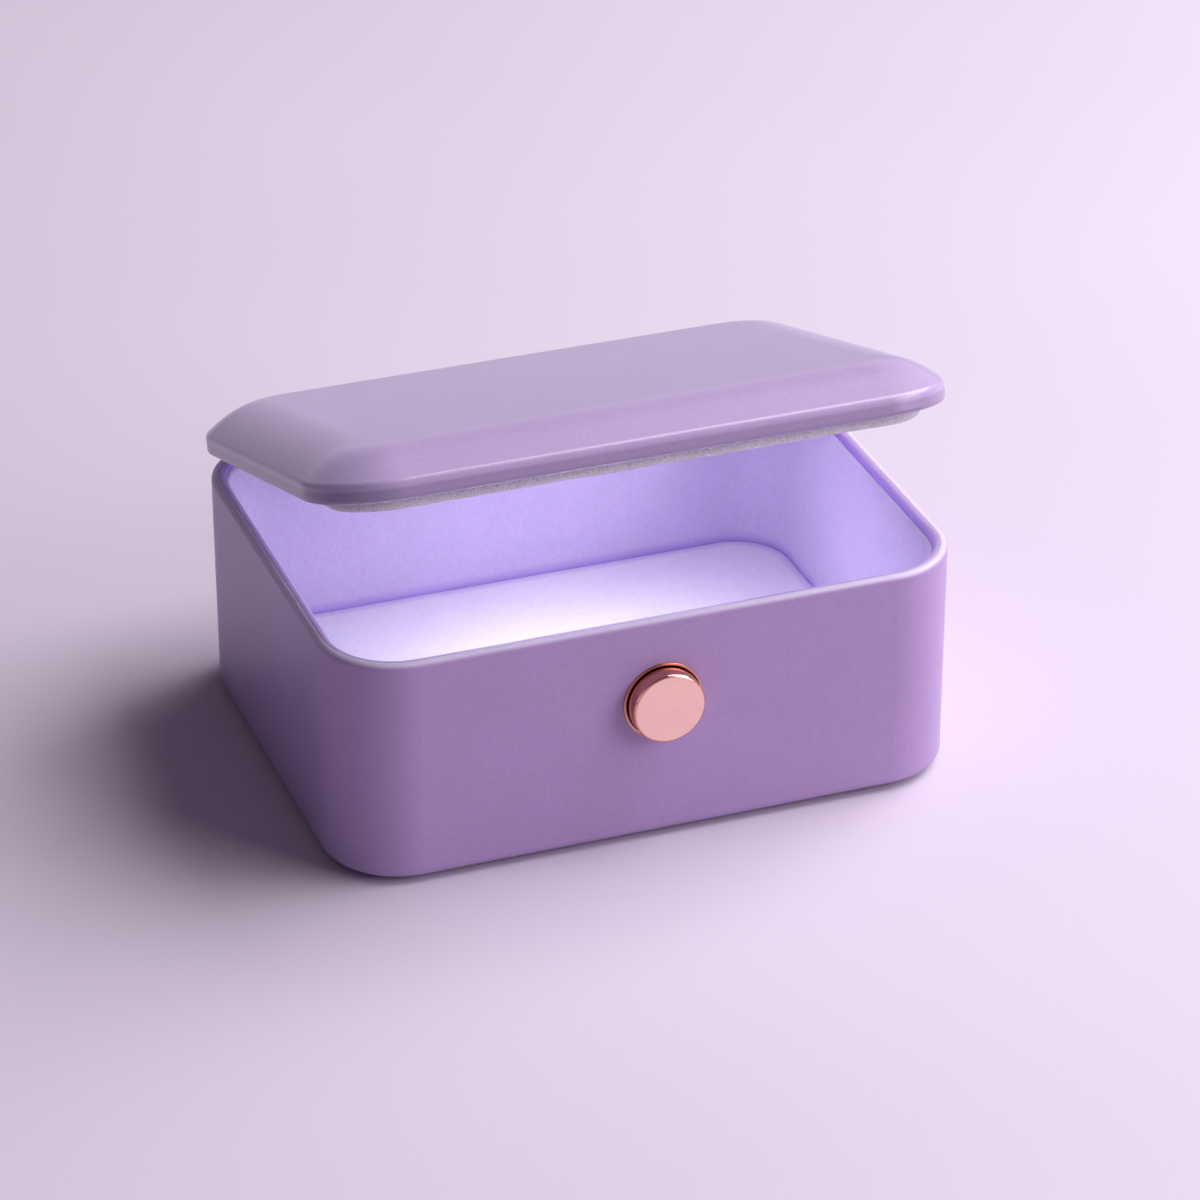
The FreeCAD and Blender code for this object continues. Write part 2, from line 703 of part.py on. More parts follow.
def board_connectors():
    plugs = []
    top = BOARD_TOP_Z + PLUG_H
    for x in plug_places():
        front = plug_front_y()
        plugs.append(box(x - PLUG_W / 2, x + PLUG_W / 2, front, front + PLUG_D, BOARD_TOP_Z, top))
    end = BOARD_W / 2 - FIT_GAP
    y = side_plug_y()
    plugs.append(box(end - PLUG_D, end, y - PLUG_W / 2, y + PLUG_W / 2, BOARD_TOP_Z, top))
    return group(plugs)


def board_screws():
    length = BOARD_T + BOARD_POST_H
    one = screw(BOARD_SCREW_R, length, BOARD_SCREW_HEAD_R, BOARD_SCREW_HEAD_H)
    one.rotate(Vector(0, 0, 0), Vector(1, 0, 0), 180)
    return group([placed(one, x, y, BOARD_TOP_Z) for x, y in board_screw_places()])


def socket_block(grow, y0, y1):
    """Flat oval bar along Y, as the charging socket is shaped."""
    width = SOCKET_W + 2 * grow
    height = SOCKET_H + 2 * grow
    radius = height / 2
    reach = width / 2 - radius
    parts = [box(-reach, reach, y0, y1, SOCKET_Z - radius, SOCKET_Z + radius)]
    for side in (-1, 1):
        parts.append(rod_y(radius, y0, y1, side * reach, SOCKET_Z))
    return joined(parts)


def usb_socket():
    back = SOCKET_FRONT_Y - SOCKET_L
    socket = socket_block(0, back, SOCKET_FRONT_Y)
    socket = socket.cut(socket_block(-SOCKET_WALL, back + SOCKET_WALL, SOCKET_FRONT_Y + OVERRUN))
    half_w = SOCKET_TONGUE_W / 2
    half_h = SOCKET_TONGUE_H / 2
    tongue = box(-half_w, half_w, back, back + SOCKET_TONGUE_L, SOCKET_Z - half_h, SOCKET_Z + half_h)
    return joined([socket, tongue])


# Push button
def button_cap():
    rear = BUTTON_SHOULDER_Y + BUTTON_STOP_GAP + BUTTON_LIP_T
    inner = BUTTON_FRONT_Y + BUTTON_FACE_T
    lip_front = rear - BUTTON_LIP_T
    lip_r = BUTTON_R + BUTTON_LIP
    bore_r = BUTTON_R - BUTTON_WALL
    cap = turned([
        (0, BUTTON_FRONT_Y), (BUTTON_R, BUTTON_FRONT_Y), (BUTTON_R, lip_front), (lip_r, lip_front),
        (lip_r, rear), (bore_r, rear), (bore_r, inner), (BUTTON_POST_R, inner),
        (BUTTON_POST_R, PLUNGER_TOP_Y), (0, PLUNGER_TOP_Y),
    ])
    return cap.makeFillet(BUTTON_EDGE_R, circles_at(cap, BUTTON_R, BUTTON_FRONT_Y))


def button_bezel():
    front = FRONT_Y - BEZEL_FLANGE_T
    flange_r = BEZEL_R + BEZEL_FLANGE
    bezel = turned([
        (BEZEL_BORE_R, front), (flange_r, front), (flange_r, FRONT_Y), (BEZEL_R, FRONT_Y),
        (BEZEL_R, KEY_BOARD_Y), (BEZEL_REAR_R, KEY_BOARD_Y), (BEZEL_REAR_R, BUTTON_SHOULDER_Y),
        (BEZEL_BORE_R, BUTTON_SHOULDER_Y),
    ])
    edges = circles_at(bezel, flange_r, front) + circles_at(bezel, BEZEL_BORE_R, front)
    return bezel.makeFillet(BEZEL_EDGE_R, edges)


def switch_plunger():
    return rod_y(PLUNGER_R, PLUNGER_TOP_Y, SWITCH_TOP_Y + PLUNGER_DEPTH, 0, BUTTON_Z)


def push_switch():
    half = SWITCH_W / 2
    body = box(-half, half, SWITCH_TOP_Y, KEY_BOARD_Y, BUTTON_Z - half, BUTTON_Z + half)
    well = rod_y(PLUNGER_R + PLUNGER_GAP, SWITCH_TOP_Y - OVERRUN, KEY_BOARD_Y - SWITCH_FLOOR, 0, BUTTON_Z)
    return body.cut(well)


def button_board():
    """Flat board on the inside of the front wall, behind the button."""
    height = KEY_BOARD_UP + KEY_BOARD_DOWN
    board = rounded_block(KEY_BOARD_W, height, KEY_BOARD_R, 0, KEY_BOARD_T)
    board.rotate(Vector(0, 0, 0), Vector(1, 0, 0), -90)
    board.translate(Vector(0, KEY_BOARD_Y, KEY_BOTTOM_Z + height / 2))
    for x, z in key_screw_places():
        hole = rod_y(KEY_SCREW_R + FIT_GAP, KEY_BOARD_Y - OVERRUN, KEY_BOARD_Y + OVERRUN, x, z)
        board = board.cut(hole)
    return board


def button_screws():
    one = screw(KEY_SCREW_R, KEY_SCREW_L + KEY_BOARD_T, KEY_SCREW_HEAD_R, KEY_SCREW_HEAD_H)
    one.rotate(Vector(0, 0, 0), Vector(1, 0, 0), 90)
    return group([placed(one, x, KEY_BOARD_Y + KEY_BOARD_T, z) for x, z in key_screw_places()])


def lid_sensor():
    top = BUTTON_Z + KEY_BOARD_UP - SENSOR_EDGE
    back = KEY_BOARD_Y + KEY_BOARD_T
    return box(-SENSOR_W / 2, SENSOR_W / 2, back, back + SENSOR_T, top - SENSOR_H, top)


# Magnets
def body_magnets():
    y = FRONT_Y + TUB_OUT
    half = BODY_MAGNET_L / 2
    one = box(MAGNET_X - half, MAGNET_X + half, y - BODY_MAGNET_T, y, LIP_Z - BODY_MAGNET_H, LIP_Z)
    return group(both_sides(one))


def lid_magnets():
    y = -LID_D / 2 + LID_MAGNET_INSET
    half = LID_MAGNET_L / 2
    deep = LID_MAGNET_W / 2
    one = box(
        MAGNET_X - half, MAGNET_X + half, y - deep, y + deep, PANEL_TOP_Z, PANEL_TOP_Z + LID_MAGNET_H,
    )
    return group(both_sides(one))


# Hinge
def hinge_pins():
    """Pins fixed in the lid knuckles: hollow outside, closed at the inner end."""
    pin = rod_x(PIN_R, PIN_START_X, PIN_END_X, AXIS_Y, AXIS_Z)
    bore_start = HINGE_X - LEAD_SLOT_H / 2 - PIN_BORE_R
    pin = pin.cut(rod_x(PIN_BORE_R, bore_start, PIN_END_X + OVERRUN, AXIS_Y, AXIS_Z))
    return group([mirrored(pin), pin.cut(lead_slot())])


def friction_sleeves():
    sleeves = []
    for x0 in (PIN_START_X, PIN_END_X - SLEEVE_L):
        tube = rod_x(SLEEVE_R, x0, x0 + SLEEVE_L, AXIS_Y, AXIS_Z)
        tube = tube.cut(rod_x(PIN_R + PIN_GAP, x0 - OVERRUN, x0 + SLEEVE_L + OVERRUN, AXIS_Y, AXIS_Z))
        sleeves += both_sides(tube)
    return group(sleeves)


def lead_slot():
    """Passage from the right hinge pin through the lid's back wall."""
    side = LEAD_TIGHT_BEND + LEAD_R
    half = LEAD_SLOT_H / 2
    slot = box(
        HINGE_X - half, HINGE_X + side + half, AXIS_Y - LEAD_SLOT_L, AXIS_Y, AXIS_Z - half, AXIS_Z + half,
    )
    slot.rotate(Vector(0, AXIS_Y, AXIS_Z), Vector(1, 0, 0), -LEAD_SLOT_DEG)
    return slot


# Lid
def crown_profile():
    """Steps in from the lid's edge with their heights: a straight slope, then a round shoulder."""
    steps = [(share * SLOPE_RUN, share * SLOPE_RUN * math.tan(LID_SLOPE)) for share in CROWN_SLOPE_SHARES]
    for share in CROWN_SHOULDER_SHARES:
        left = SHOULDER_RUN * (1 - share)
        drop = LID_SHOULDER_R - math.sqrt(LID_SHOULDER_R ** 2 - left ** 2)
        steps.append((LID_RUN - left, LID_TOP_Z - BAND_Z - drop))
    return steps


def crown_block(inset, bottom, drop):
    """Lid form: an upright band, then a crown that slopes up to a flat top, steeper at its two ends."""
    width = LID_W - 2 * inset
    depth = LID_D - 2 * inset
    radius = LID_R - inset
    band_top = BAND_Z - drop
    sections = []
    for (step, rise), end_share in zip(crown_profile(), CROWN_END_SHARES):
        corner = radius - CROWN_CORNER_SHARE * step
        length = width - 2 * end_share * step
        sections.append(rounded_outline(length, depth - 2 * step, corner, band_top + rise))
    crown = Part.makeLoft(sections, True, False)
    return joined([rounded_block(width, depth, radius, bottom, band_top), crown])


def lid_barrel():
    """Lid knuckle, joined to the lid's back band by a flat-topped web."""
    x0 = HINGE_X - LID_BARREL_L / 2
    x1 = x0 + LID_BARREL_L
    web = box(x0, x1, LID_D / 2 - LID_WALL / 2, AXIS_Y, AXIS_Z, AXIS_Z + BARREL_R)
    return joined([web, rod_x(BARREL_R, x0, x1, AXIS_Y, AXIS_Z)])


def panel_screw_places():
    return [(sx * PANEL_W / 2, sy * PANEL_D / 2) for sx, sy in PANEL_SCREW_SHARES]


def lid_shell():
    outer = crown_block(0, LID_Z, 0)
    outer = outer.makeFillet(LID_BOTTOM_R, edges_on_outline(outer, LID_W, LID_D, LID_R, LID_Z))
    outer = outer.makeFillet(LID_EDGE_R, edges_on_outline(outer, LID_W, LID_D, LID_R, BAND_Z))
    shell = outer.cut(crown_block(LID_WALL, LID_Z - OVERRUN, LID_TOP_T))
    ceiling = LID_TOP_Z - LID_TOP_T / 2
    bosses = [rod_z(LID_BOSS_R, PANEL_TOP_Z, ceiling, x, y) for x, y in panel_screw_places()]
    bosses += [rod_z(LID_BOSS_R, LIGHT_BOARD_TOP_Z, ceiling, sx * LIGHT_SCREW_X, 0) for sx in (-1, 1)]
    bosses = [boss.common(outer) for boss in bosses]
    shell = joined([shell] + bosses + both_sides(lid_barrel()))
    notch_r = BARREL_R + MOVE_GAP
    for x0 in (INNER_BARREL_X, OUTER_BARREL_X):
        start = x0 - MOVE_GAP
        notch = rod_x(notch_r, start, start + BODY_BARREL_L + 2 * MOVE_GAP, AXIS_Y, AXIS_Z)
        for cut in both_sides(notch):
            shell = shell.cut(cut)
    half = LID_BARREL_L / 2 + OVERRUN
    for bore in both_sides(rod_x(PIN_R, HINGE_X - half, HINGE_X + half, AXIS_Y, AXIS_Z)):
        shell = shell.cut(bore)
    shell = shell.cut(lead_slot())
    for x, y in panel_screw_places():
        depth = PANEL_Z + PANEL_SCREW_L + FIT_GAP
        shell = shell.cut(rod_z(PANEL_SCREW_R, PANEL_TOP_Z - OVERRUN, depth, x, y))
    for side in (-1, 1):
        depth = LIGHT_BOARD_Z + BOARD_T + BOARD_POST_H + FIT_GAP
        shell = shell.cut(rod_z(BOARD_SCREW_R, LIGHT_BOARD_Z, depth, side * LIGHT_SCREW_X, 0))
    return shell


def lid_panel():
    panel = rounded_block(PANEL_W, PANEL_D, LID_R - PANEL_INSET, PANEL_Z, PANEL_TOP_Z)
    seat_w = WINDOW_W + 2 * WINDOW_SEAT + 2 * FIT_GAP
    seat_d = WINDOW_D + 2 * WINDOW_SEAT + 2 * FIT_GAP
    seat_r = WINDOW_R + WINDOW_SEAT + FIT_GAP
    panel = panel.cut(rounded_block(seat_w, seat_d, seat_r, WINDOW_Z, PANEL_TOP_Z + OVERRUN))
    panel = panel.cut(rounded_block(WINDOW_W, WINDOW_D, WINDOW_R, PANEL_Z - OVERRUN, PANEL_TOP_Z))
    for x, y in panel_screw_places():
        panel = panel.cut(rod_z(PANEL_SCREW_R + FIT_GAP, PANEL_Z - OVERRUN, PANEL_TOP_Z + OVERRUN, x, y))
        seat = PANEL_Z + PANEL_SCREW_HEAD_H
        panel = panel.cut(rod_z(PANEL_SCREW_HEAD_R + FIT_GAP, PANEL_Z - OVERRUN, seat, x, y))
    return panel


def lid_screws():
    one = screw(PANEL_SCREW_R, PANEL_SCREW_L - PANEL_SCREW_HEAD_H, PANEL_SCREW_HEAD_R, PANEL_SCREW_HEAD_H)
    return group([placed(one, x, y, PANEL_Z + PANEL_SCREW_HEAD_H) for x, y in panel_screw_places()])


def lid_pad():
    """Felt pad with rounded lower edges and an opening round the light window."""
    width = LID_W - 2 * LID_PAD_INSET
    depth = LID_D - 2 * LID_PAD_INSET
    radius = LID_R - LID_PAD_INSET
    low = PANEL_Z - LID_PAD_T
    hole_w = WINDOW_W + 2 * LID_PAD_BORDER
    hole_d = WINDOW_D + 2 * LID_PAD_BORDER
    hole_r = WINDOW_R + LID_PAD_BORDER
    pad = rounded_block(width, depth, radius, low, PANEL_Z)
    pad = pad.cut(rounded_block(hole_w, hole_d, hole_r, low - OVERRUN, PANEL_Z + OVERRUN))
    edges = edges_on_outline(pad, width, depth, radius, low)
    edges += edges_on_outline(pad, hole_w, hole_d, hole_r, low)
    return pad.makeFillet(LID_PAD_EDGE_R, edges)


def lid_bumpers():
    x = BUMPER_X_SHARE * LID_W / 2
    y = LID_D / 2 - BUMPER_INSET
    dots = []
    for sx in (-1, 1):
        for sy in (-1, 1):
            dots.append(rod_z(BUMPER_R, RIM_Z + BUMPER_GAP, PANEL_Z, sx * x, sy * y))
    return group(dots)


def light_window():
    width = WINDOW_W + 2 * WINDOW_SEAT
    depth = WINDOW_D + 2 * WINDOW_SEAT
    return rounded_block(width, depth, WINDOW_R + WINDOW_SEAT, WINDOW_Z, WINDOW_TOP_Z)


def reflector():
    """Trough that opens from the row of lights to the window."""
    depth = WINDOW_D + 2 * REFLECTOR_RIM
    block = rounded_block(REFLECTOR_W, depth, WINDOW_R + REFLECTOR_RIM, WINDOW_TOP_Z, LIGHT_BOARD_Z)
    sections = [
        rounded_outline(WINDOW_W, WINDOW_D, WINDOW_R, WINDOW_TOP_Z),
        rounded_outline(REFLECTOR_SLOT_W, REFLECTOR_SLOT_D, REFLECTOR_SLOT_D / 4, LIGHT_BOARD_Z),
    ]
    return block.cut(Part.makeLoft(sections, True, True))


def light_board():
    board = rounded_block(LIGHT_BOARD_W, LIGHT_BOARD_D, LIGHT_BOARD_R, LIGHT_BOARD_Z, LIGHT_BOARD_TOP_Z)
    for side in (-1, 1):
        x = side * LIGHT_SCREW_X
        hole = rod_z(BOARD_SCREW_R + FIT_GAP, LIGHT_BOARD_Z - OVERRUN, LIGHT_BOARD_TOP_Z + OVERRUN, x, 0)
        board = board.cut(hole)
    return board


def light_screws():
    one = screw(BOARD_SCREW_R, BOARD_T + BOARD_POST_H, BOARD_SCREW_HEAD_R, BOARD_SCREW_HEAD_H)
    return group([placed(one, sx * LIGHT_SCREW_X, 0, LIGHT_BOARD_Z) for sx in (-1, 1)])


def uv_lights():
    half = LED_W / 2
    chips = []
    for index in range(LED_COUNT):
        x = (index - (LED_COUNT - 1) / 2) * LED_PITCH
        chips.append(box(x - half, x + half, -half, half, LIGHT_BOARD_Z - LED_H, LIGHT_BOARD_Z))
    return group(chips)


def light_plug_back_y():
    return LIGHT_BOARD_D / 2 - FIT_GAP


def light_connector():
    back = light_plug_back_y()
    half = PLUG_W / 2
    top = LIGHT_BOARD_TOP_Z + PLUG_H
    return box(HINGE_X - half, HINGE_X + half, back - PLUG_D, back, LIGHT_BOARD_TOP_Z, top)


# Leads
def battery_lead():
    x = plug_places()[0]
    start = BATTERY_D / 2
    end = plug_front_y()
    span = end - start
    low = COVER_TOP_Z + TAPE_T + BATTERY_H / 2
    high = BOARD_TOP_Z + PLUG_H / 2
    points = [(x, start, low), (x, start + span / 3, low), (x, end - span / 3, high), (x, end, high)]
    return lead(points, (LEAD_BEND * 2, LEAD_BEND * 2), "battery_lead")


def button_lead():
    x = plug_places()[1]
    gap_y = FRONT_Y + LEAD_GAP_INSET
    turn_y = FRONT_Y + COVER_INSET
    end = plug_front_y()
    side_x = (BATTERY_W / 2 + SCREW_X - BOSS_R) / 2
    high = BOARD_TOP_Z + PLUG_H / 2
    points = [
        (0, gap_y, KEY_BOTTOM_Z), (0, gap_y, LEAD_Z), (0, turn_y, LEAD_Z), (side_x, turn_y, LEAD_Z),
        (side_x, end - 2 * LEAD_SIDE_RUN, LEAD_Z), (x, end - LEAD_SIDE_RUN, high), (x, end, high),
    ]
    bends = (LEAD_BEND, LEAD_BEND * 3, LEAD_BEND * 3, LEAD_BEND, LEAD_BEND)
    return lead(points, bends, "button_lead")


def light_lead_base():
    """From the main board up the wall gap and into the right hinge."""
    start = BOARD_W / 2 - FIT_GAP
    y = side_plug_y()
    high = BOARD_TOP_Z + PLUG_H / 2
    gap_y = BACK_Y - LEAD_GAP_INSET
    low = RIM_Z - HINGE_BRACE_H
    points = [
        (start, y, high), (start + LEAD_SIDE_RUN, y, high), (LEAD_X, y, LEAD_Z), (LEAD_X, gap_y, LEAD_Z),
        (LEAD_X, gap_y, low), (LEAD_X, AXIS_Y, AXIS_Z), (PIN_END_X + MOVE_GAP, AXIS_Y, AXIS_Z),
    ]
    bends = (LEAD_BEND, LEAD_BEND, LEAD_BEND, LEAD_BEND * 2, LEAD_TIGHT_BEND)
    return lead(points, bends, "light_lead_base")


def light_lead_lid():
    """From the right hinge pin through the lid to the light board."""
    slope = math.radians(LEAD_SLOT_DEG)
    out_y = AXIS_Y - LEAD_SLOT_L * math.cos(slope)
    out_z = AXIS_Z + LEAD_SLOT_L * math.sin(slope)
    end_y = light_plug_back_y()
    end_z = LIGHT_BOARD_TOP_Z + PLUG_H / 2
    run = out_y - end_y
    points = [
        (PIN_END_X, AXIS_Y, AXIS_Z), (HINGE_X, AXIS_Y, AXIS_Z), (HINGE_X, out_y, out_z),
        (HINGE_X, out_y - run / 2, end_z), (HINGE_X, end_y, end_z),
    ]
    return lead(points, (LEAD_TIGHT_BEND, LEAD_BEND * 5, LEAD_BEND * 5), "light_lead_lid")


BASE_PIECES = (
    body_shell, inner_tub, wall_lining, floor_pad, base_cover, base_screws, rubber_feet, battery_tape,
    battery_cell, main_board, board_chips, board_connectors, board_screws, usb_socket, button_bezel,
    button_cap, switch_plunger, push_switch, button_board, button_screws, lid_sensor, body_magnets,
    friction_sleeves, battery_lead, button_lead, light_lead_base,
)
LID_PIECES = (
    lid_shell, lid_panel, lid_screws, lid_pad, lid_bumpers, lid_magnets, hinge_pins, light_window,
    reflector, light_board, light_screws, uv_lights, light_connector, light_lead_lid,
)

os.makedirs("parts", exist_ok=True)
for piece in BASE_PIECES:
    piece().exportStep("parts/" + piece.__name__ + ".step")
for piece in LID_PIECES:
    lid_open(piece()).exportStep("parts/" + piece.__name__ + ".step")
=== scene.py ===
"""Looks of a small lavender box with a hinged lid, a felt-lined chamber and a violet light in the lid."""
import json
import math

import bmesh
import bpy
import numpy as np
from mathutils import Matrix, Vector, noise

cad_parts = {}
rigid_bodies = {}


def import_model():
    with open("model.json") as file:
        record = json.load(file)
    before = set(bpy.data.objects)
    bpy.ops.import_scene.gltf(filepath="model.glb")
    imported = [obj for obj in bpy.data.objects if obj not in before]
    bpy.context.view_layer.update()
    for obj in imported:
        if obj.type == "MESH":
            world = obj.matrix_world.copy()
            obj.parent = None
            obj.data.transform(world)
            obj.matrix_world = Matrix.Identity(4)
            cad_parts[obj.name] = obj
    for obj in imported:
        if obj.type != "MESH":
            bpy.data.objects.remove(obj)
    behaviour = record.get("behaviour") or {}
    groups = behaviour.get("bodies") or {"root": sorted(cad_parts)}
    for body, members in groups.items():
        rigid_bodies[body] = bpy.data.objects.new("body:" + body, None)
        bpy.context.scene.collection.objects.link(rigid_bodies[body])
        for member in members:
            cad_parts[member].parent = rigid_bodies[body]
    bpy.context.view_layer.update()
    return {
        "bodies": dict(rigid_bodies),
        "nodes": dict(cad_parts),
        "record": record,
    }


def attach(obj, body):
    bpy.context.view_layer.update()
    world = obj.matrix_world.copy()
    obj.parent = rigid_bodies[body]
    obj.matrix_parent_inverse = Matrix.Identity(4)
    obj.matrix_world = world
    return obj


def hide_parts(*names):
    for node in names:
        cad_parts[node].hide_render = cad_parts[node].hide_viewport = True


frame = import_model()
nodes = frame["nodes"]
MM = 0.001

# Lid at rest: turned about its hinge
HINGE = Vector((0.0, 71.6 * MM, 69.2 * MM))
LID_REST = math.radians(18.5)
OPEN_LID = Matrix.Translation(HINGE) @ Matrix.Rotation(-LID_REST, 4, "X") @ Matrix.Translation(-HINGE)

# Felt pieces: width, depth and corner radius in plan, then heights
LINING_INNER = (169.8 * MM, 127.8 * MM, 16.9 * MM)
LINING_OUTER = (171.78 * MM, 129.78 * MM, 17.89 * MM)
LINING_LOW, LINING_HIGH, LINING_EDGE = 9.5 * MM, 65.5 * MM, 0.4 * MM
LINING_LIFT = 0.08 * MM
FLOOR_PLAN = (169.7 * MM, 127.7 * MM, 16.85 * MM)
FLOOR_LOW, FLOOR_HIGH, FLOOR_EDGE = 9.5 * MM, 10.9 * MM, 0.6 * MM
LID_PAD_PLAN = (167.0 * MM, 125.0 * MM, 15.5 * MM)
LID_PAD_HOLE = (114.0 * MM, 36.0 * MM, 13.0 * MM)
LID_PAD_TOP, LID_PAD_LOW, LID_PAD_TUCK = 68.3 * MM, 64.3 * MM, 1.4 * MM

# Heights at which painted light and shade on the plastics begin and end: from, to
# Rim: painted violet glow of the lid's light below, painted highlight along the top
RIM_PAINTED_GLOW_SPAN = (66.6 * MM, 67.4 * MM)
# Body: painted highlight along the rim edge, from, to, and the height where it stops
BODY_EDGE_PAINTED_HIGHLIGHT_SPAN = (66.5 * MM, 67.2 * MM)
BODY_EDGE_PAINTED_HIGHLIGHT_CAP = 68.2 * MM
# Lid: painted shade on the band below, the lid's own colour above; heights after the lid's turn
LID_BAND_PAINTED_SHADE_SPAN = (90.2 * MM, 91.0 * MM)

# Painted shade along the felt's seams, where wall and floor meet: where each is full, and the length it fades
# over
WALL_SEAM_TOP, WALL_SEAM_FADE = 14.2 * MM, 3.3 * MM
FLOOR_SEAM_BOX = (68.0 * MM, 47.0 * MM, 0.0)
FLOOR_SEAM_START, FLOOR_SEAM_FADE = 13.2 * MM, 3.65 * MM

# Foot of the button, where painted shade darkens its plating
BUTTON_FOOT_SHADE_Y, BUTTON_FOOT_SHADE_FADE = 71.4 * MM, 1.2 * MM

# Camera, fitted to the photograph
CAMERA_AZIMUTH = math.radians(-20.33)
CAMERA_ELEVATION = math.radians(29.023)
CAMERA_LENS = 143.135
CAMERA_AIM = Vector((0.0, 0.0, 0.0315))
CAMERA_BACK_OFF = 1.33954
CAMERA_SIDE = 0.007055
CAMERA_LIFT = 0.005319


def make_camera():
    """Camera at the photograph's viewing angle, level, with no shift."""
    turn, tilt = CAMERA_AZIMUTH, CAMERA_ELEVATION
    back = Vector((math.sin(turn) * math.cos(tilt), -math.cos(turn) * math.cos(tilt), math.sin(tilt)))
    right = Vector((math.cos(turn), math.sin(turn), 0.0))
    up = back.cross(right)
    data = bpy.data.cameras.new("camera")
    data.lens = CAMERA_LENS
    data.sensor_width = 36.0
    data.clip_start = 0.05
    data.clip_end = 50.0
    camera = bpy.data.objects.new("camera", data)
    bpy.context.scene.collection.objects.link(camera)
    place = CAMERA_AIM + back * CAMERA_BACK_OFF + right * CAMERA_SIDE + up * CAMERA_LIFT
    turned = Matrix((right, up, back)).transposed().to_4x4()
    camera.matrix_world = Matrix.Translation(place) @ turned
    bpy.context.scene.camera = camera


# Node trees
class Tree:
    """Short names for the nodes of one material."""

    def __init__(self, name):
        self.material = bpy.data.materials.new(name)
        self.material.use_nodes = True
        self.tree = self.material.node_tree
        self.shader = self.tree.nodes["Principled BSDF"]
        self.place = self.tree.nodes.new("ShaderNodeTexCoord").outputs["Object"]

    def node(self, kind, **settings):
        made = self.tree.nodes.new("ShaderNode" + kind)
        for key, value in settings.items():
            setattr(made, key, value)
        return made

    def link(self, source, target):
        self.tree.links.new(source, target)

    def set(self, **values):
        """Constant numbers and colours, on the shader's own sockets."""
        for key, value in values.items():
            socket = self.shader.inputs[key.replace("_", " ")]
            if hasattr(value, "__len__") and len(value) == 3:
                value = (*value, 1.0)
            socket.default_value = value

    def stretched(self, scale, turn=(0.0, 0.0, 0.0), source=None):
        mapping = self.node("Mapping")
        mapping.inputs["Scale"].default_value = scale
        mapping.inputs["Rotation"].default_value = turn
        self.link(source or self.place, mapping.inputs["Vector"])
        return mapping.outputs["Vector"]

    def noise(self, size, detail=2.0, rough=0.5, source=None):
        """Noise whose grains are about size metres across."""
        made = self.node("TexNoise")
        made.inputs["Scale"].default_value = 1.0 / size
        made.inputs["Detail"].default_value = detail
        made.inputs["Roughness"].default_value = rough
        self.link(source or self.place, made.inputs["Vector"])
        return made.outputs["Fac"]

    def cells(self, size, feature="F1", source=None):
        made = self.node("TexVoronoi", feature=feature)
        made.inputs["Scale"].default_value = 1.0 / size
        self.link(source or self.place, made.inputs["Vector"])
        return made.outputs["Distance"]

    def ramp(self, factor, stops):
        """Colour or grey ramp; stops are (place, colour or level)."""
        made = self.node("ValToRGB")
        elements = made.color_ramp.elements
        while len(elements) < len(stops):
            elements.new(0.5)
        for element, (place, colour) in zip(elements, stops):
            element.position = place
            grey = not hasattr(colour, "__len__")
            element.color = (colour, colour, colour, 1.0) if grey else (*colour, 1.0)
        self.link(factor, made.inputs["Fac"])
        return made.outputs["Color"]

    def math(self, kind, a, b):
        made = self.node("Math", operation=kind)
        for socket, value in zip(made.inputs, (a, b)):
            if isinstance(value, (int, float)):
                socket.default_value = value
            else:
                self.link(value, socket)
        return made.outputs["Value"]

    def mix(self, factor, a, b, blend="MIX"):
        made = self.node("Mix", data_type="RGBA", blend_type=blend)
        for socket, value in ((made.inputs[0], factor), (made.inputs[6], a), (made.inputs[7], b)):
            if isinstance(value, (int, float)):
                socket.default_value = value
            elif isinstance(value, tuple):
                socket.default_value = (*value, 1.0)
            else:
                self.link(value, socket)
        return made.outputs[2]

    def bump(self, height, depth, strength=1.0, under=None):
        """Bump of about depth metres; under is another bump that this one lies on."""
        made = self.node("Bump")
        made.inputs["Strength"].default_value = strength
        made.inputs["Distance"].default_value = depth
        self.link(height, made.inputs["Height"])
        if under is not None:
            self.link(under, made.inputs["Normal"])
        return made.outputs["Normal"]

    def finish(self, colour=None, rough=None, normal=None):
        for socket, value in (("Base Color", colour), ("Roughness", rough), ("Normal", normal)):
            if value is not None:
                self.link(value, self.shader.inputs[socket])
        return self.material


def shade(colour, level):
    return tuple(min(1.0, channel * level) for channel in colour)


# Materials
LIGHT_COLOUR = (0.68, 0.58, 1.0)
LIGHT_STRENGTH = 4.0
FELT_FIBRE = 0.3 * MM
FELT_CURL_SCALE, FELT_CURL_REACH = 420.0, 3 * MM
PLASTIC_GRAIN, PLASTIC_DEPTH = 0.5 * MM, 0.04 * MM


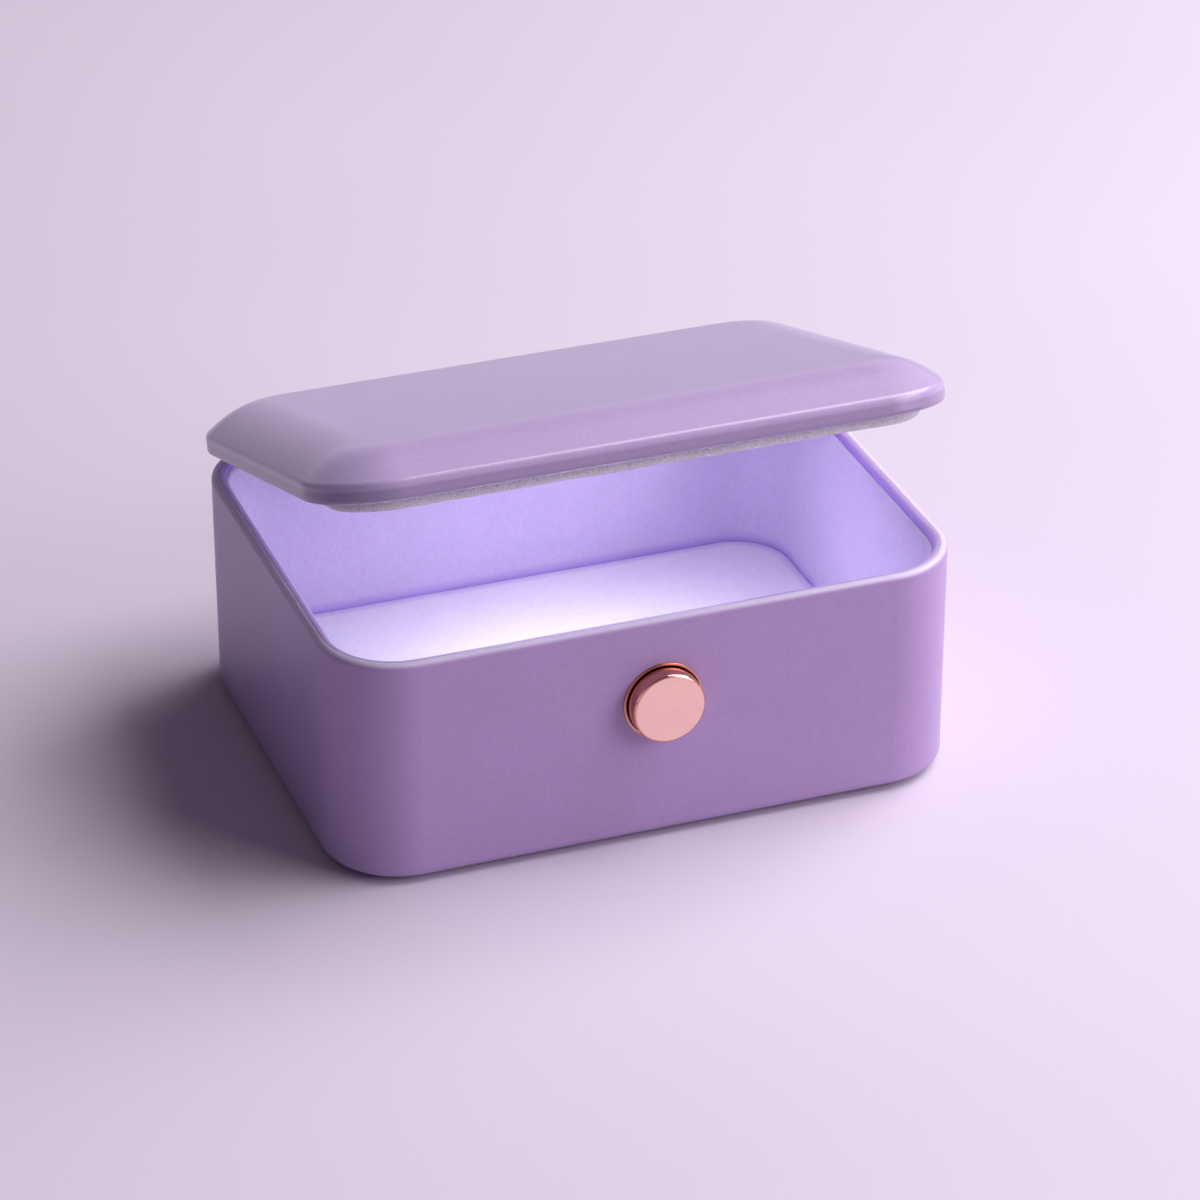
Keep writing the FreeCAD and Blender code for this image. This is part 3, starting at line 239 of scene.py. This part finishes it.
def soft_plastic(name, colour, rough=0.4, sheen=0.05, gloss=0.5, high=None, span=None, turn=0.0, cap=None):
    """Soft-touch moulded plastic: fine pebbled grain and a little sheen.

    high is a second colour above the span of heights, measured after a turn about X, and ends at cap; it
    paints light or shade by height.
    """
    t = Tree(name)
    t.set(Sheen_Weight=sheen, Sheen_Roughness=0.45, Sheen_Tint=(0.93, 0.88, 1.0), Specular_IOR_Level=gloss)
    t.set(Coat_Weight=gloss, Coat_Roughness=0.2)
    cloud = t.noise(28 * MM, 3.0, 0.6)
    fine = t.noise(PLASTIC_GRAIN * 2.4, 2.0, 0.6)
    tint = t.ramp(cloud, [(0.3, shade(colour, 0.975)), (0.7, shade(colour, 1.02))])
    # Painted light or shade: the second colour, laid on by height, stands in for a highlight, a glow or a
    # shade.
    if high is not None:
        start, end = span
        level = t.node("SeparateXYZ")
        t.link(t.stretched((1.0, 1.0, 1.0), (turn, 0.0, 0.0)), level.inputs[0])
        share = t.math("DIVIDE", t.math("SUBTRACT", level.outputs["Z"], start), end - start)
        above = t.ramp(cloud, [(0.3, shade(high, 0.975)), (0.7, shade(high, 1.02))])
        painted_mask = t.ramp(share, [(0.0, 0.0), (1.0, 1.0)])
        if cap is not None:
            under = t.math("DIVIDE", t.math("SUBTRACT", cap, level.outputs["Z"]), end - start)
            painted_mask = t.math("MULTIPLY", painted_mask, t.ramp(under, [(0.0, 0.0), (1.0, 1.0)]))
        tint = t.mix(painted_mask, tint, above)
    speck = t.ramp(fine, [(0.3, 0.94), (0.7, 1.0)])
    pebbles = t.cells(PLASTIC_GRAIN)
    normal = t.bump(pebbles, PLASTIC_DEPTH, 0.55, t.bump(fine, PLASTIC_DEPTH * 1.4, 0.45))
    skin = t.ramp(fine, [(0.25, rough - 0.05), (0.75, rough + 0.06)])
    return t.finish(t.mix(1.0, tint, speck, "MULTIPLY"), skin, normal)


def wall_painted_shade(t):
    """Share of painted shade: 1 at the foot of the chamber wall, 0 from a little above it."""
    level = t.node("SeparateXYZ")
    t.link(t.place, level.inputs[0])
    return t.math("DIVIDE", t.math("SUBTRACT", WALL_SEAM_TOP, level.outputs["Z"]), WALL_SEAM_FADE)


def floor_painted_shade(t):
    """Share of painted shade: 1 at the edge of the chamber floor, 0 from a little inside it."""
    flat = t.stretched((1.0, 1.0, 0.0))
    steps = (("ABSOLUTE", None), ("SUBTRACT", FLOOR_SEAM_BOX), ("MAXIMUM", (0.0, 0.0, 0.0)))
    for kind, other in steps:
        step = t.node("VectorMath", operation=kind)
        t.link(flat, step.inputs[0])
        if other is not None:
            step.inputs[1].default_value = other
        flat = step.outputs["Vector"]
    out = t.node("VectorMath", operation="LENGTH")
    t.link(flat, out.inputs[0])
    return t.math("DIVIDE", t.math("SUBTRACT", out.outputs["Value"], FLOOR_SEAM_START), FLOOR_SEAM_FADE)


def felt(name, colour, dark, depth=0.06 * MM, seam_painted_shade=None):
    """Pressed felt: crossing curled fibres in three directions over soft lumps; seam_painted_shade says where
    painted shade darkens it.
    """
    t = Tree(name)
    t.set(Sheen_Weight=0.3, Sheen_Roughness=0.6, Sheen_Tint=(0.96, 0.93, 1.0), Specular_IOR_Level=0.15)
    bend = t.node("TexNoise")
    bend.inputs["Scale"].default_value = FELT_CURL_SCALE
    bend.inputs["Detail"].default_value = 1.0
    t.link(t.place, bend.inputs["Vector"])
    centred = t.node("VectorMath", operation="SUBTRACT")
    centred.inputs[1].default_value = (0.5, 0.5, 0.5)
    t.link(bend.outputs["Color"], centred.inputs[0])
    scaled = t.node("VectorMath", operation="SCALE")
    scaled.inputs["Scale"].default_value = FELT_CURL_REACH
    t.link(centred.outputs["Vector"], scaled.inputs[0])
    curled = t.node("VectorMath", operation="ADD")
    t.link(t.place, curled.inputs[0])
    t.link(scaled.outputs["Vector"], curled.inputs[1])
    strands = None
    for turn in ((0.3, 0.2, 0.4), (1.2, 0.5, 2.1), (2.0, 1.1, 1.1)):
        run = t.stretched((1.0, 1.0, 0.4), turn, curled.outputs["Vector"])
        strand = t.noise(FELT_FIBRE, 2.0, 0.55, run)
        strands = strand if strands is None else t.math("ADD", strands, strand)
    strands = t.math("MULTIPLY", strands, 1.0 / 3.0)
    lumps = t.noise(2.2 * MM, 3.0, 0.6)
    clouds = t.noise(12 * MM, 2.0, 0.5)
    mottle = t.ramp(strands, [(0.38, dark), (0.54, colour), (0.66, shade(colour, 1.05))])
    patch = t.ramp(lumps, [(0.3, 0.955), (0.65, 1.0)])
    wide = t.ramp(clouds, [(0.3, 0.975), (0.7, 1.0)])
    toned = t.mix(1.0, t.mix(1.0, mottle, patch, "MULTIPLY"), wide, "MULTIPLY")
    # Painted shade along the seam: darker and more violet where the felts meet.
    if seam_painted_shade is not None:
        seam_shade_colour = t.ramp(seam_painted_shade(t), [(0.0, (1.0, 1.0, 1.0)), (1.0, (0.74, 0.64, 0.95))])
        toned = t.mix(1.0, toned, seam_shade_colour, "MULTIPLY")
    normal = t.bump(strands, depth, 0.7, t.bump(lumps, depth * 2.5, 0.5))
    return t.finish(toned, t.ramp(strands, [(0.4, 0.98), (0.7, 0.86)]), normal)


def metal(name, colour, rough, streak=(1.0, 1.0, 0.08)):
    """Metal with fine drawn streaks."""
    t = Tree(name)
    t.set(Metallic=1.0)
    lines = t.noise(0.6 * MM, 3.0, 0.6, t.stretched(streak))
    stain = t.noise(9 * MM, 2.0, 0.5)
    tint = t.ramp(stain, [(0.3, shade(colour, 0.95)), (0.7, shade(colour, 1.03))])
    gloss = t.ramp(lines, [(0.25, max(0.02, rough - 0.07)), (0.75, rough + 0.09)])
    return t.finish(tint, gloss, t.bump(lines, 0.004 * MM, 0.4))


def rose_gold(name, colour):
    """Rose-gold plating: satin on the flat face, mirror on the sides; painted darker on the sides as a
    reflection, with painted shade at its foot and in the gaps.
    """
    t = Tree(name)
    t.set(Metallic=1.0)
    facing = t.node("SeparateXYZ")
    t.link(t.node("NewGeometry").outputs["Normal"], facing.inputs[0])
    flat = t.math("MULTIPLY", facing.outputs["Y"], -1.0)
    lines = t.noise(0.35 * MM, 2.0, 0.6)
    stain = t.noise(6 * MM, 2.0, 0.5)
    satin = t.math("ADD", t.math("MULTIPLY", lines, 0.06), 0.3)
    polish = t.math("ADD", t.math("MULTIPLY", lines, 0.03), 0.09)
    face = t.ramp(flat, [(0.93, 0.0), (0.985, 1.0)])
    gloss = t.node("Mix", data_type="FLOAT")
    t.link(face, gloss.inputs[0])
    t.link(polish, gloss.inputs[2])
    t.link(satin, gloss.inputs[3])
    tint = t.ramp(stain, [(0.3, shade(colour, 0.975)), (0.7, shade(colour, 1.02))])
    # Painted reflection: the sides are darker and redder than the face, the same metal.
    tint = t.mix(face, t.mix(1.0, tint, (0.82, 0.6, 0.56), "MULTIPLY"), tint)
    # Painted shade at the button's foot, where it meets the body.
    depth = t.node("SeparateXYZ")
    t.link(t.place, depth.inputs[0])
    foot = t.math("DIVIDE", t.math("ADD", depth.outputs["Y"], BUTTON_FOOT_SHADE_Y), BUTTON_FOOT_SHADE_FADE)
    tint = t.mix(1.0, tint, t.ramp(foot, [(0.0, (1.0, 1.0, 1.0)), (1.0, (0.66, 0.54, 0.54))]), "MULTIPLY")
    # Painted shade in gaps and nooks, darkest where other surfaces lie within about a millimetre.
    nook = t.node("AmbientOcclusion", samples=8)
    nook.inputs["Distance"].default_value = 1.1 * MM
    gap_shade = t.ramp(nook.outputs["AO"], [(0.2, (0.16, 0.07, 0.07)), (0.75, (1.0, 1.0, 1.0))])
    toned = t.mix(1.0, tint, gap_shade, "MULTIPLY")
    return t.finish(toned, gloss.outputs[0], t.bump(lines, 0.003 * MM, 0.35))


def rubber(name, colour, rough=0.75, size=0.7 * MM):
    """Rubber or silicone: dusty, with a fine uneven skin."""
    t = Tree(name)
    t.set(Specular_IOR_Level=0.35, Sheen_Weight=0.08, Sheen_Roughness=0.5)
    dust = t.noise(4 * MM, 4.0, 0.65)
    skin = t.noise(size, 2.0, 0.6)
    tint = t.ramp(dust, [(0.3, shade(colour, 0.85)), (0.72, shade(colour, 1.18))])
    gloss = t.ramp(skin, [(0.3, rough - 0.08), (0.7, rough + 0.08)])
    return t.finish(tint, gloss, t.bump(skin, 0.03 * MM, 0.5))


def hard_plastic(name, colour, rough=0.42):
    """Small hard moulding: even colour with faint flow marks and a fine spark-eroded skin."""
    t = Tree(name)
    flow = t.noise(6 * MM, 3.0, 0.6, t.stretched((1.0, 0.4, 1.0)))
    skin = t.noise(0.9 * MM, 2.0, 0.6)
    tint = t.ramp(flow, [(0.3, shade(colour, 0.92)), (0.7, shade(colour, 1.06))])
    gloss = t.ramp(skin, [(0.3, rough - 0.07), (0.7, rough + 0.07)])
    return t.finish(tint, gloss, t.bump(skin, 0.01 * MM, 0.5))


def circuit_board(name, colour, trace, rough=0.35):
    """Circuit board: solder mask over square-cornered tracks and a fine glass weave."""
    t = Tree(name)
    bricks = t.node("TexBrick", offset=0.5, squash=1.0)
    for socket, value in (("Scale", 260.0), ("Mortar Size", 0.03), ("Mortar Smooth", 0.2)):
        bricks.inputs[socket].default_value = value
    t.link(t.place, bricks.inputs["Vector"])
    weave = t.noise(0.5 * MM, 1.0, 0.5, t.stretched((1.0, 0.2, 1.0)))
    tracks = t.mix(bricks.outputs["Fac"], colour, trace)
    toned = t.mix(1.0, tracks, t.ramp(weave, [(0.3, 0.88), (0.7, 1.0)]), "MULTIPLY")
    normal = t.bump(bricks.outputs["Fac"], 0.04 * MM, 0.5, t.bump(weave, 0.01 * MM, 0.4))
    return t.finish(toned, t.ramp(weave, [(0.3, rough - 0.05), (0.7, rough + 0.08)]), normal)


def foil(name, colour):
    """Battery pouch: soft silver laminate with shallow creases."""
    t = Tree(name)
    t.set(Metallic=1.0)
    creases = t.cells(9 * MM, "DISTANCE_TO_EDGE")
    ripple = t.noise(4 * MM, 3.0, 0.6)
    tint = t.ramp(ripple, [(0.3, shade(colour, 0.9)), (0.7, shade(colour, 1.05))])
    normal = t.bump(creases, 0.12 * MM, 0.5, t.bump(ripple, 0.08 * MM, 0.5))
    return t.finish(tint, t.ramp(ripple, [(0.3, 0.28), (0.7, 0.42)]), normal)


def clear_window(name, colour):
    """Window over the lights: lightly frosted, lets the light through and glows faintly."""
    t = Tree(name)
    t.set(Alpha=0.35, IOR=1.46, Emission_Color=LIGHT_COLOUR, Emission_Strength=0.5)
    frost = t.noise(1.2 * MM, 2.0, 0.5)
    tint = t.ramp(frost, [(0.3, shade(colour, 0.96)), (0.7, colour)])
    return t.finish(tint, t.ramp(frost, [(0.3, 0.1), (0.7, 0.2)]), t.bump(frost, 0.01 * MM, 0.3))


def glowing(name, colour):
    """Light diode under a clear dome: its glow varies a little with a fine grain."""
    t = Tree(name)
    t.set(Emission_Strength=LIGHT_STRENGTH, Roughness=0.3)
    grain = t.noise(0.8 * MM, 2.0, 0.5)
    glow = t.ramp(grain, [(0.2, shade(LIGHT_COLOUR, 0.9)), (0.8, LIGHT_COLOUR)])
    t.link(glow, t.shader.inputs["Emission Color"])
    return t.finish(t.ramp(grain, [(0.3, shade(colour, 0.94)), (0.7, colour)]))


def slot_materials():
    """One material for each of the record's slots."""
    return {
        # Body: own lavender, with a painted highlight along the rim edge.
        "body_plastic": soft_plastic(
            "body_plastic", (0.45, 0.305, 0.59), sheen=0.0, gloss=0.25,
            high=(0.68, 0.585, 0.8), span=BODY_EDGE_PAINTED_HIGHLIGHT_SPAN, cap=BODY_EDGE_PAINTED_HIGHLIGHT_CAP),
        # Rim: the violet is a painted glow of the lid's light, the paler top a painted highlight.
        "rim_plastic": soft_plastic(
            "rim_plastic", (0.42, 0.27, 0.82), rough=0.36, high=(0.5, 0.37, 0.66), span=RIM_PAINTED_GLOW_SPAN),
        # Lid: the darker colour is painted shade on the band, the lighter one above it is the lid's own
        # colour.
        "lid_plastic": soft_plastic(
            "lid_plastic", (0.33, 0.235, 0.44), rough=0.34,
            high=(0.47, 0.35, 0.62), span=LID_BAND_PAINTED_SHADE_SPAN, turn=LID_REST),
        "panel_plastic": soft_plastic("panel_plastic", (0.52, 0.43, 0.65), rough=0.52),
        "lining_felt": felt("lining_felt", (0.68, 0.6, 0.83), (0.61, 0.53, 0.775), seam_painted_shade=wall_painted_shade),
        "floor_felt": felt("floor_felt", (0.85, 0.84, 0.9), (0.78, 0.765, 0.85), seam_painted_shade=floor_painted_shade),
        "lid_felt": felt("lid_felt", (0.715, 0.655, 0.725), (0.41, 0.35, 0.41), depth=0.1 * MM),
        "rose_gold": rose_gold("rose_gold", (0.95, 0.62, 0.515)),
        "foot_rubber": rubber("foot_rubber", (0.0685, 0.0545, 0.0844)),
        "bumper_silicone": rubber("bumper_silicone", (0.67, 0.645, 0.715), rough=0.5),
        "lead_silicone": rubber("lead_silicone", (0.1022, 0.0452, 0.0802), rough=0.5),
        "steel": metal("steel", (0.515, 0.515, 0.546), 0.3),
        "magnet_nickel": metal("magnet_nickel", (0.578, 0.578, 0.604), 0.2),
        "sleeve_brass": metal("sleeve_brass", (0.578, 0.402, 0.127), 0.3),
        "socket_steel": metal("socket_steel", (0.434, 0.445, 0.479), 0.28, streak=(0.08, 1.0, 1.0)),
        "reflector_silver": metal("reflector_silver", (0.79, 0.79, 0.82), 0.4, streak=(0.1, 1.0, 1.0)),
        "board_green": circuit_board("board_green", (0.0212, 0.107, 0.0545), (0.03, 0.16, 0.075)),
        "board_white": circuit_board("board_white", (0.76, 0.76, 0.776), (0.7, 0.7, 0.72), 0.45),
        "chip_black": hard_plastic("chip_black", (0.016, 0.016, 0.0194), 0.5),
        "plug_ivory": hard_plastic("plug_ivory", (0.745, 0.7, 0.578)),
        "switch_black": hard_plastic("switch_black", (0.0252, 0.0252, 0.0296)),
        "battery_foil": foil("battery_foil", (0.491, 0.503, 0.54)),
        "tape_foam": rubber("tape_foam", (0.82, 0.82, 0.79), rough=0.85, size=0.4 * MM),
        "window_glass": clear_window("window_glass", (0.76, 0.687, 1.0)),
        "diode": glowing("diode", (0.807, 0.73, 1.0)),
    }


def dress_nodes(looks):
    """Gives each CAD node the material of its slot."""
    for row in frame["record"]["subparts"]:
        node = nodes[row["node"]]
        node.data.materials.clear()
        node.data.materials.append(looks[row["material_slot"]])


# Felt pieces
def outline(width, depth, radius, splits):
    """Plan points round a rectangle with round corners.

    splits are the points on each arc, long run and short run.
    """
    on_arc, on_x, on_y = splits
    x, y = width / 2 - radius, depth / 2 - radius
    corners = ((x, y, 0.0, on_x), (-x, y, 90.0, on_y), (-x, -y, 180.0, on_x), (x, -y, 270.0, on_y))
    points = []
    for index, (cx, cy, start, along) in enumerate(corners):
        for step in range(on_arc):
            angle = math.radians(start + 90.0 * step / on_arc)
            points.append((cx + radius * math.cos(angle), cy + radius * math.sin(angle)))
        angle = math.radians(start + 90.0)
        off = np.array((radius * math.cos(angle), radius * math.sin(angle)))
        first = np.array((cx, cy)) + off
        last = np.array(corners[(index + 1) % 4][:2]) + off
        points += [tuple(first + (last - first) * step / along) for step in range(along)]
    return np.array(points)


def ring(plan, z):
    return np.column_stack((plan, np.full(len(plan), z)))


def mesh_object(name, points, faces):
    mesh = bpy.data.meshes.new(name)
    mesh.from_pydata([tuple(p) for p in points], [], faces)
    mesh.update()
    mesh.polygons.foreach_set("use_smooth", [True] * len(mesh.polygons))
    made = bpy.data.objects.new(name, mesh)
    bpy.context.scene.collection.objects.link(made)
    return made


def lofted(name, rings):
    """Closed skin through closed rings, the last one joined to the first."""
    count = len(rings[0])
    faces = []
    for row in range(len(rings)):
        here, there = row * count, (row + 1) % len(rings) * count
        for column in range(count):
            side = (column + 1) % count
            faces.append((here + column, here + side, there + side, there + column))
    return mesh_object(name, np.concatenate(rings), faces)


def woolly(point, sizes):
    """Height of the felt's lumps at a point, about -1 to 1 for each size and weight."""
    return sum(weight * noise.noise(Vector(point) / size) for size, weight in sizes)


def roughen(piece, sizes, still):
    """Moves the points no higher than still along their normals, by the felt's lumps."""
    normals = [vertex.normal.copy() for vertex in piece.data.vertices]
    for vertex, normal in zip(piece.data.vertices, normals):
        if vertex.co.z <= still:
            vertex.co += normal * woolly(vertex.co, sizes)
    piece.data.update()


# Lumps of the felt: size across, height
FELT_LUMPS = ((11 * MM, 0.1 * MM), (2.8 * MM, 0.09 * MM), (1.2 * MM, 0.07 * MM))
WOOL_LUMPS = ((12 * MM, 0.15 * MM), (3.4 * MM, 0.11 * MM), (1.5 * MM, 0.08 * MM))


def wall_lining():
    """Felt strip round the chamber wall, with a soft top edge."""
    splits = (30, 170, 116)
    low, high, edge = LINING_LOW, LINING_HIGH, LINING_EDGE
    inner = outline(*LINING_INNER, splits)
    outer = outline(*LINING_OUTER, splits)
    rows = np.linspace(low + edge, high - 2.5 * edge, 68)
    rings = [ring(inner + (outer - inner) * 0.25, low)]
    rings += [ring(inner, z) for z in rows]
    for share, under in ((0.15, 1.5), (0.4, 0.75), (0.7, 0.25), (1.0, 0.0)):
        rings.append(ring(inner + (outer - inner) * share, high - under * edge))
    rings.append(ring(outer, low))
    piece = lofted("wall_lining_felt", rings)
    count = len(inner)
    for row in range(1, len(rows) + 1):
        for column in range(count):
            vertex = piece.data.vertices[row * count + column]
            inward = Vector((*(inner[column] - outer[column]), 0.0)).normalized()
            vertex.co += inward * (LINING_LIFT + woolly(vertex.co, FELT_LUMPS))
    piece.data.update()
    return piece


def edged_lines(half, edges, step):
    """Places from -half to half, closer together near both ends."""
    inner = half - edges[-1]
    middle = np.linspace(-inner, inner, round(2 * inner / step) + 1)
    near = np.array(edges[:-1])
    return np.concatenate((near - half, middle, (half - near)[::-1]))


def floor_pad():
    """Felt pad on the chamber floor: flat, with a soft rounded edge."""
    width, depth, radius = FLOOR_PLAN
    low, high, soft = FLOOR_LOW, FLOOR_HIGH, FLOOR_EDGE
    edges = [share * soft for share in (0.0, 0.12, 0.3, 0.55, 0.8, 1.2)]
    xs = edged_lines(width / 2, edges, 1.0 * MM)
    ys = edged_lines(depth / 2, edges, 1.0 * MM)
    points = []
    for y in ys:
        for x in xs:
            a, b = abs(x) - (width / 2 - radius), abs(y) - (depth / 2 - radius)
            inset = min(width / 2 - abs(x), depth / 2 - abs(y))
            px, py = x, y
            if a > 0 and b > 0:
                pull = max(a, b) / math.hypot(a, b)
                px = math.copysign(width / 2 - radius + a * pull, x)
                py = math.copysign(depth / 2 - radius + b * pull, y)
                inset = radius - max(a, b)
            gap = max(0.0, soft - inset)
            drop = soft - math.sqrt(max(0.0, soft * soft - gap * gap))
            place = Vector((px, py, high))
            points.append((px, py, high - drop + woolly(place, FELT_LUMPS) * min(1.0, inset / soft)))
    wide, tall = len(xs), len(ys)
    faces = []
    for row in range(tall - 1):
        for column in range(wide - 1):
            here = row * wide + column
            faces.append((here, here + 1, here + wide + 1, here + wide))
    border = list(range(wide)) + [row * wide + wide - 1 for row in range(1, tall)]
    border += [(tall - 1) * wide + column for column in range(wide - 2, -1, -1)]
    border += [row * wide for row in range(tall - 2, 0, -1)]
    base = len(points)
    points += [(points[i][0], points[i][1], low) for i in border]
    for step in range(len(border)):
        side = (step + 1) % len(border)
        faces.append((border[step], base + step, base + side, border[side]))
    faces.append(tuple(base + step for step in reversed(range(len(border)))))
    return mesh_object("floor_pad_felt", points, faces)


def lid_pad():
    """Thick woolly pad under the lid: rolled outer edge, and an opening for the light window."""
    splits = (44, 190, 132)
    width, depth, radius = LID_PAD_PLAN
    hole_w, hole_d, hole_r = LID_PAD_HOLE
    top, low, tuck = LID_PAD_TOP, LID_PAD_LOW, LID_PAD_TUCK
    soft = (top - low) / 2
    roll, lip, under = 12, 6, 34
    rings = []
    for step in range(roll + 1):
        turn = math.radians(180.0 * step / roll)
        inset = (tuck if step < roll // 2 else soft) * (1 - math.sin(turn))
        plan = outline(width - 2 * inset, depth - 2 * inset, radius - inset, splits)
        rings.append(ring(plan, low + soft * (1 + math.cos(turn))))
    holes = []
    for step in range(lip + 1):
        turn = math.radians(90.0 * step / lip)
        out = soft * (1 - math.sin(turn))
        plan = outline(hole_w + 2 * out, hole_d + 2 * out, hole_r + out, splits)
        holes.append(ring(plan, low + soft * (1 - math.cos(turn))))
    holes.append(ring(outline(*LID_PAD_HOLE, splits), top))
    for step in range(1, under):
        rings.append(rings[roll] + (holes[0] - rings[roll]) * step / under)
    piece = lofted("lid_pad_felt", rings + holes)
    roughen(piece, WOOL_LUMPS, top - 0.05 * MM)
    piece.data.transform(OPEN_LID)
    return piece


def facing_out(piece):
    """Turns the faces outward."""
    shape = bmesh.new()
    shape.from_mesh(piece.data)
    bmesh.ops.recalc_face_normals(shape, faces=shape.faces)
    shape.to_mesh(piece.data)
    shape.free()


def add_felt(looks):
    lining, floor, pad = wall_lining(), floor_pad(), lid_pad()
    for piece, node, body, slot in (
        (lining, "wall_lining", "base", "lining_felt"),
        (floor, "floor_pad", "base", "floor_felt"),
        (pad, "lid_pad", "lid", "lid_felt"),
    ):
        facing_out(piece)
        piece.data.materials.append(looks[slot])
        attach(piece, body)
        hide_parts(node)


# Stage and light
FLOOR_HALF = 6.0
LAMP_AIM = Vector((0.0, 0.0, 0.04))
LID_LAMP_SIZE, LID_LAMP_HEIGHT = (88 * MM, 23 * MM), 68.8 * MM
SKY_STOPS = ((0.12, (0.82, 0.73, 0.86)), (0.75, (0.15, 0.11, 0.16)))
# Floor's painted shade by distance, in units of 2 m
FLOOR_PAINTED_SHADE = [(0.3, 1.0), (0.6, 0.45)]


def make_floor():
    """Pale lavender paper under the object, with painted shade darkening it far from the object, below the
    lamps.
    """
    t = Tree("floor_paper")
    grain = t.noise(1.1 * MM, 2.0, 0.6)
    cloud = t.noise(0.3, 2.0, 0.5)
    colour = t.ramp(cloud, [(0.3, (0.715, 0.625, 0.765)), (0.7, (0.74, 0.65, 0.79))])
    away = t.node("VectorMath", operation="LENGTH")
    t.link(t.place, away.inputs[0])
    painted_floor_shade = t.ramp(t.math("MULTIPLY", away.outputs["Value"], 0.5), FLOOR_PAINTED_SHADE)
    colour = t.mix(1.0, colour, painted_floor_shade, "MULTIPLY")
    t.set(Specular_IOR_Level=0.2)
    t.finish(colour, t.ramp(grain, [(0.3, 0.8), (0.7, 0.95)]), t.bump(grain, 0.04 * MM, 0.35))
    half = FLOOR_HALF
    corners = [(-half, -half, 0), (half, -half, 0), (half, half, 0), (-half, half, 0)]
    floor = mesh_object("floor", corners, [(0, 1, 2, 3)])
    floor.data.materials.append(t.material)


def new_lamp(name, size, power, colour):
    data = bpy.data.lights.new(name, "AREA")
    data.shape = "RECTANGLE"
    data.size, data.size_y = size
    data.energy = power
    data.color = colour
    lamp = bpy.data.objects.new(name, data)
    bpy.context.scene.collection.objects.link(lamp)
    return lamp


def studio_lamp(name, direction, distance, size, power, colour):
    lamp = new_lamp(name, size, power, colour)
    towards = Vector(direction).normalized()
    lamp.location = LAMP_AIM + towards * distance
    lamp.rotation_mode = "QUATERNION"
    lamp.rotation_quaternion = towards.to_track_quat("Z", "Y")


def lid_lamp():
    """The light that leaves the lid's window, which moves with the lid."""
    for name, power, colour, spread, along, turn in (
        ("lid_light_wide", 0.058, (0.81, 0.735, 1.0), 165.0, 8 * MM, LID_REST),
        ("lid_light_core", 0.03, (0.98, 0.97, 1.0), 112.0, -6 * MM, 0.0),
    ):
        lamp = new_lamp(name, LID_LAMP_SIZE, power, colour)
        tilted = Matrix.Translation((along, 0.0, LID_LAMP_HEIGHT)) @ Matrix.Rotation(turn, 4, "X")
        lamp.matrix_world = OPEN_LID @ tilted
        lamp.data.spread = math.radians(spread)
        lamp.parent = frame["bodies"]["lid"]
        lamp.visible_camera = False


def make_light():
    studio_lamp("key", (0.62, 0.05, 0.78), 1.8, (1.5, 1.6), 42.0, (1.0, 0.97, 0.985))
    studio_lamp("fill", (0.68, -0.62, 0.4), 1.5, (0.85, 0.85), 9.9, (1.0, 0.975, 0.99))
    lid_lamp()
    world = bpy.data.worlds.new("world")
    world.use_nodes = True
    bpy.context.scene.world = world
    tree = world.node_tree
    ambient = tree.nodes["Background"]
    ambient.inputs["Color"].default_value = (0.95, 0.9, 1.0, 1.0)
    ambient.inputs["Strength"].default_value = 0.09
    shown = tree.nodes.new("ShaderNodeBackground")
    place = tree.nodes.new("ShaderNodeTexCoord")
    height = tree.nodes.new("ShaderNodeSeparateXYZ")
    tree.links.new(place.outputs["Generated"], height.inputs[0])
    sky = tree.nodes.new("ShaderNodeValToRGB")
    for element, (level, colour) in zip(sky.color_ramp.elements, SKY_STOPS):
        element.position = level
        element.color = (*colour, 1.0)
    tree.links.new(height.outputs["Z"], sky.inputs["Fac"])
    tree.links.new(sky.outputs["Color"], shown.inputs["Color"])
    shown.inputs["Strength"].default_value = 1.0
    path = tree.nodes.new("ShaderNodeLightPath")
    seen = path.outputs["Is Camera Ray"]
    for other in ("Is Glossy Ray", "Is Transmission Ray"):
        either = tree.nodes.new("ShaderNodeMath")
        either.operation = "MAXIMUM"
        tree.links.new(seen, either.inputs[0])
        tree.links.new(path.outputs[other], either.inputs[1])
        seen = either.outputs["Value"]
    blend = tree.nodes.new("ShaderNodeMixShader")
    tree.links.new(seen, blend.inputs["Fac"])
    tree.links.new(ambient.outputs["Background"], blend.inputs[1])
    tree.links.new(shown.outputs["Background"], blend.inputs[2])
    tree.links.new(blend.outputs["Shader"], tree.nodes["World Output"].inputs["Surface"])


bpy.context.scene.view_settings.view_transform = "Standard"
make_camera()
looks = slot_materials()
dress_nodes(looks)
add_felt(looks)
make_floor()
make_light()
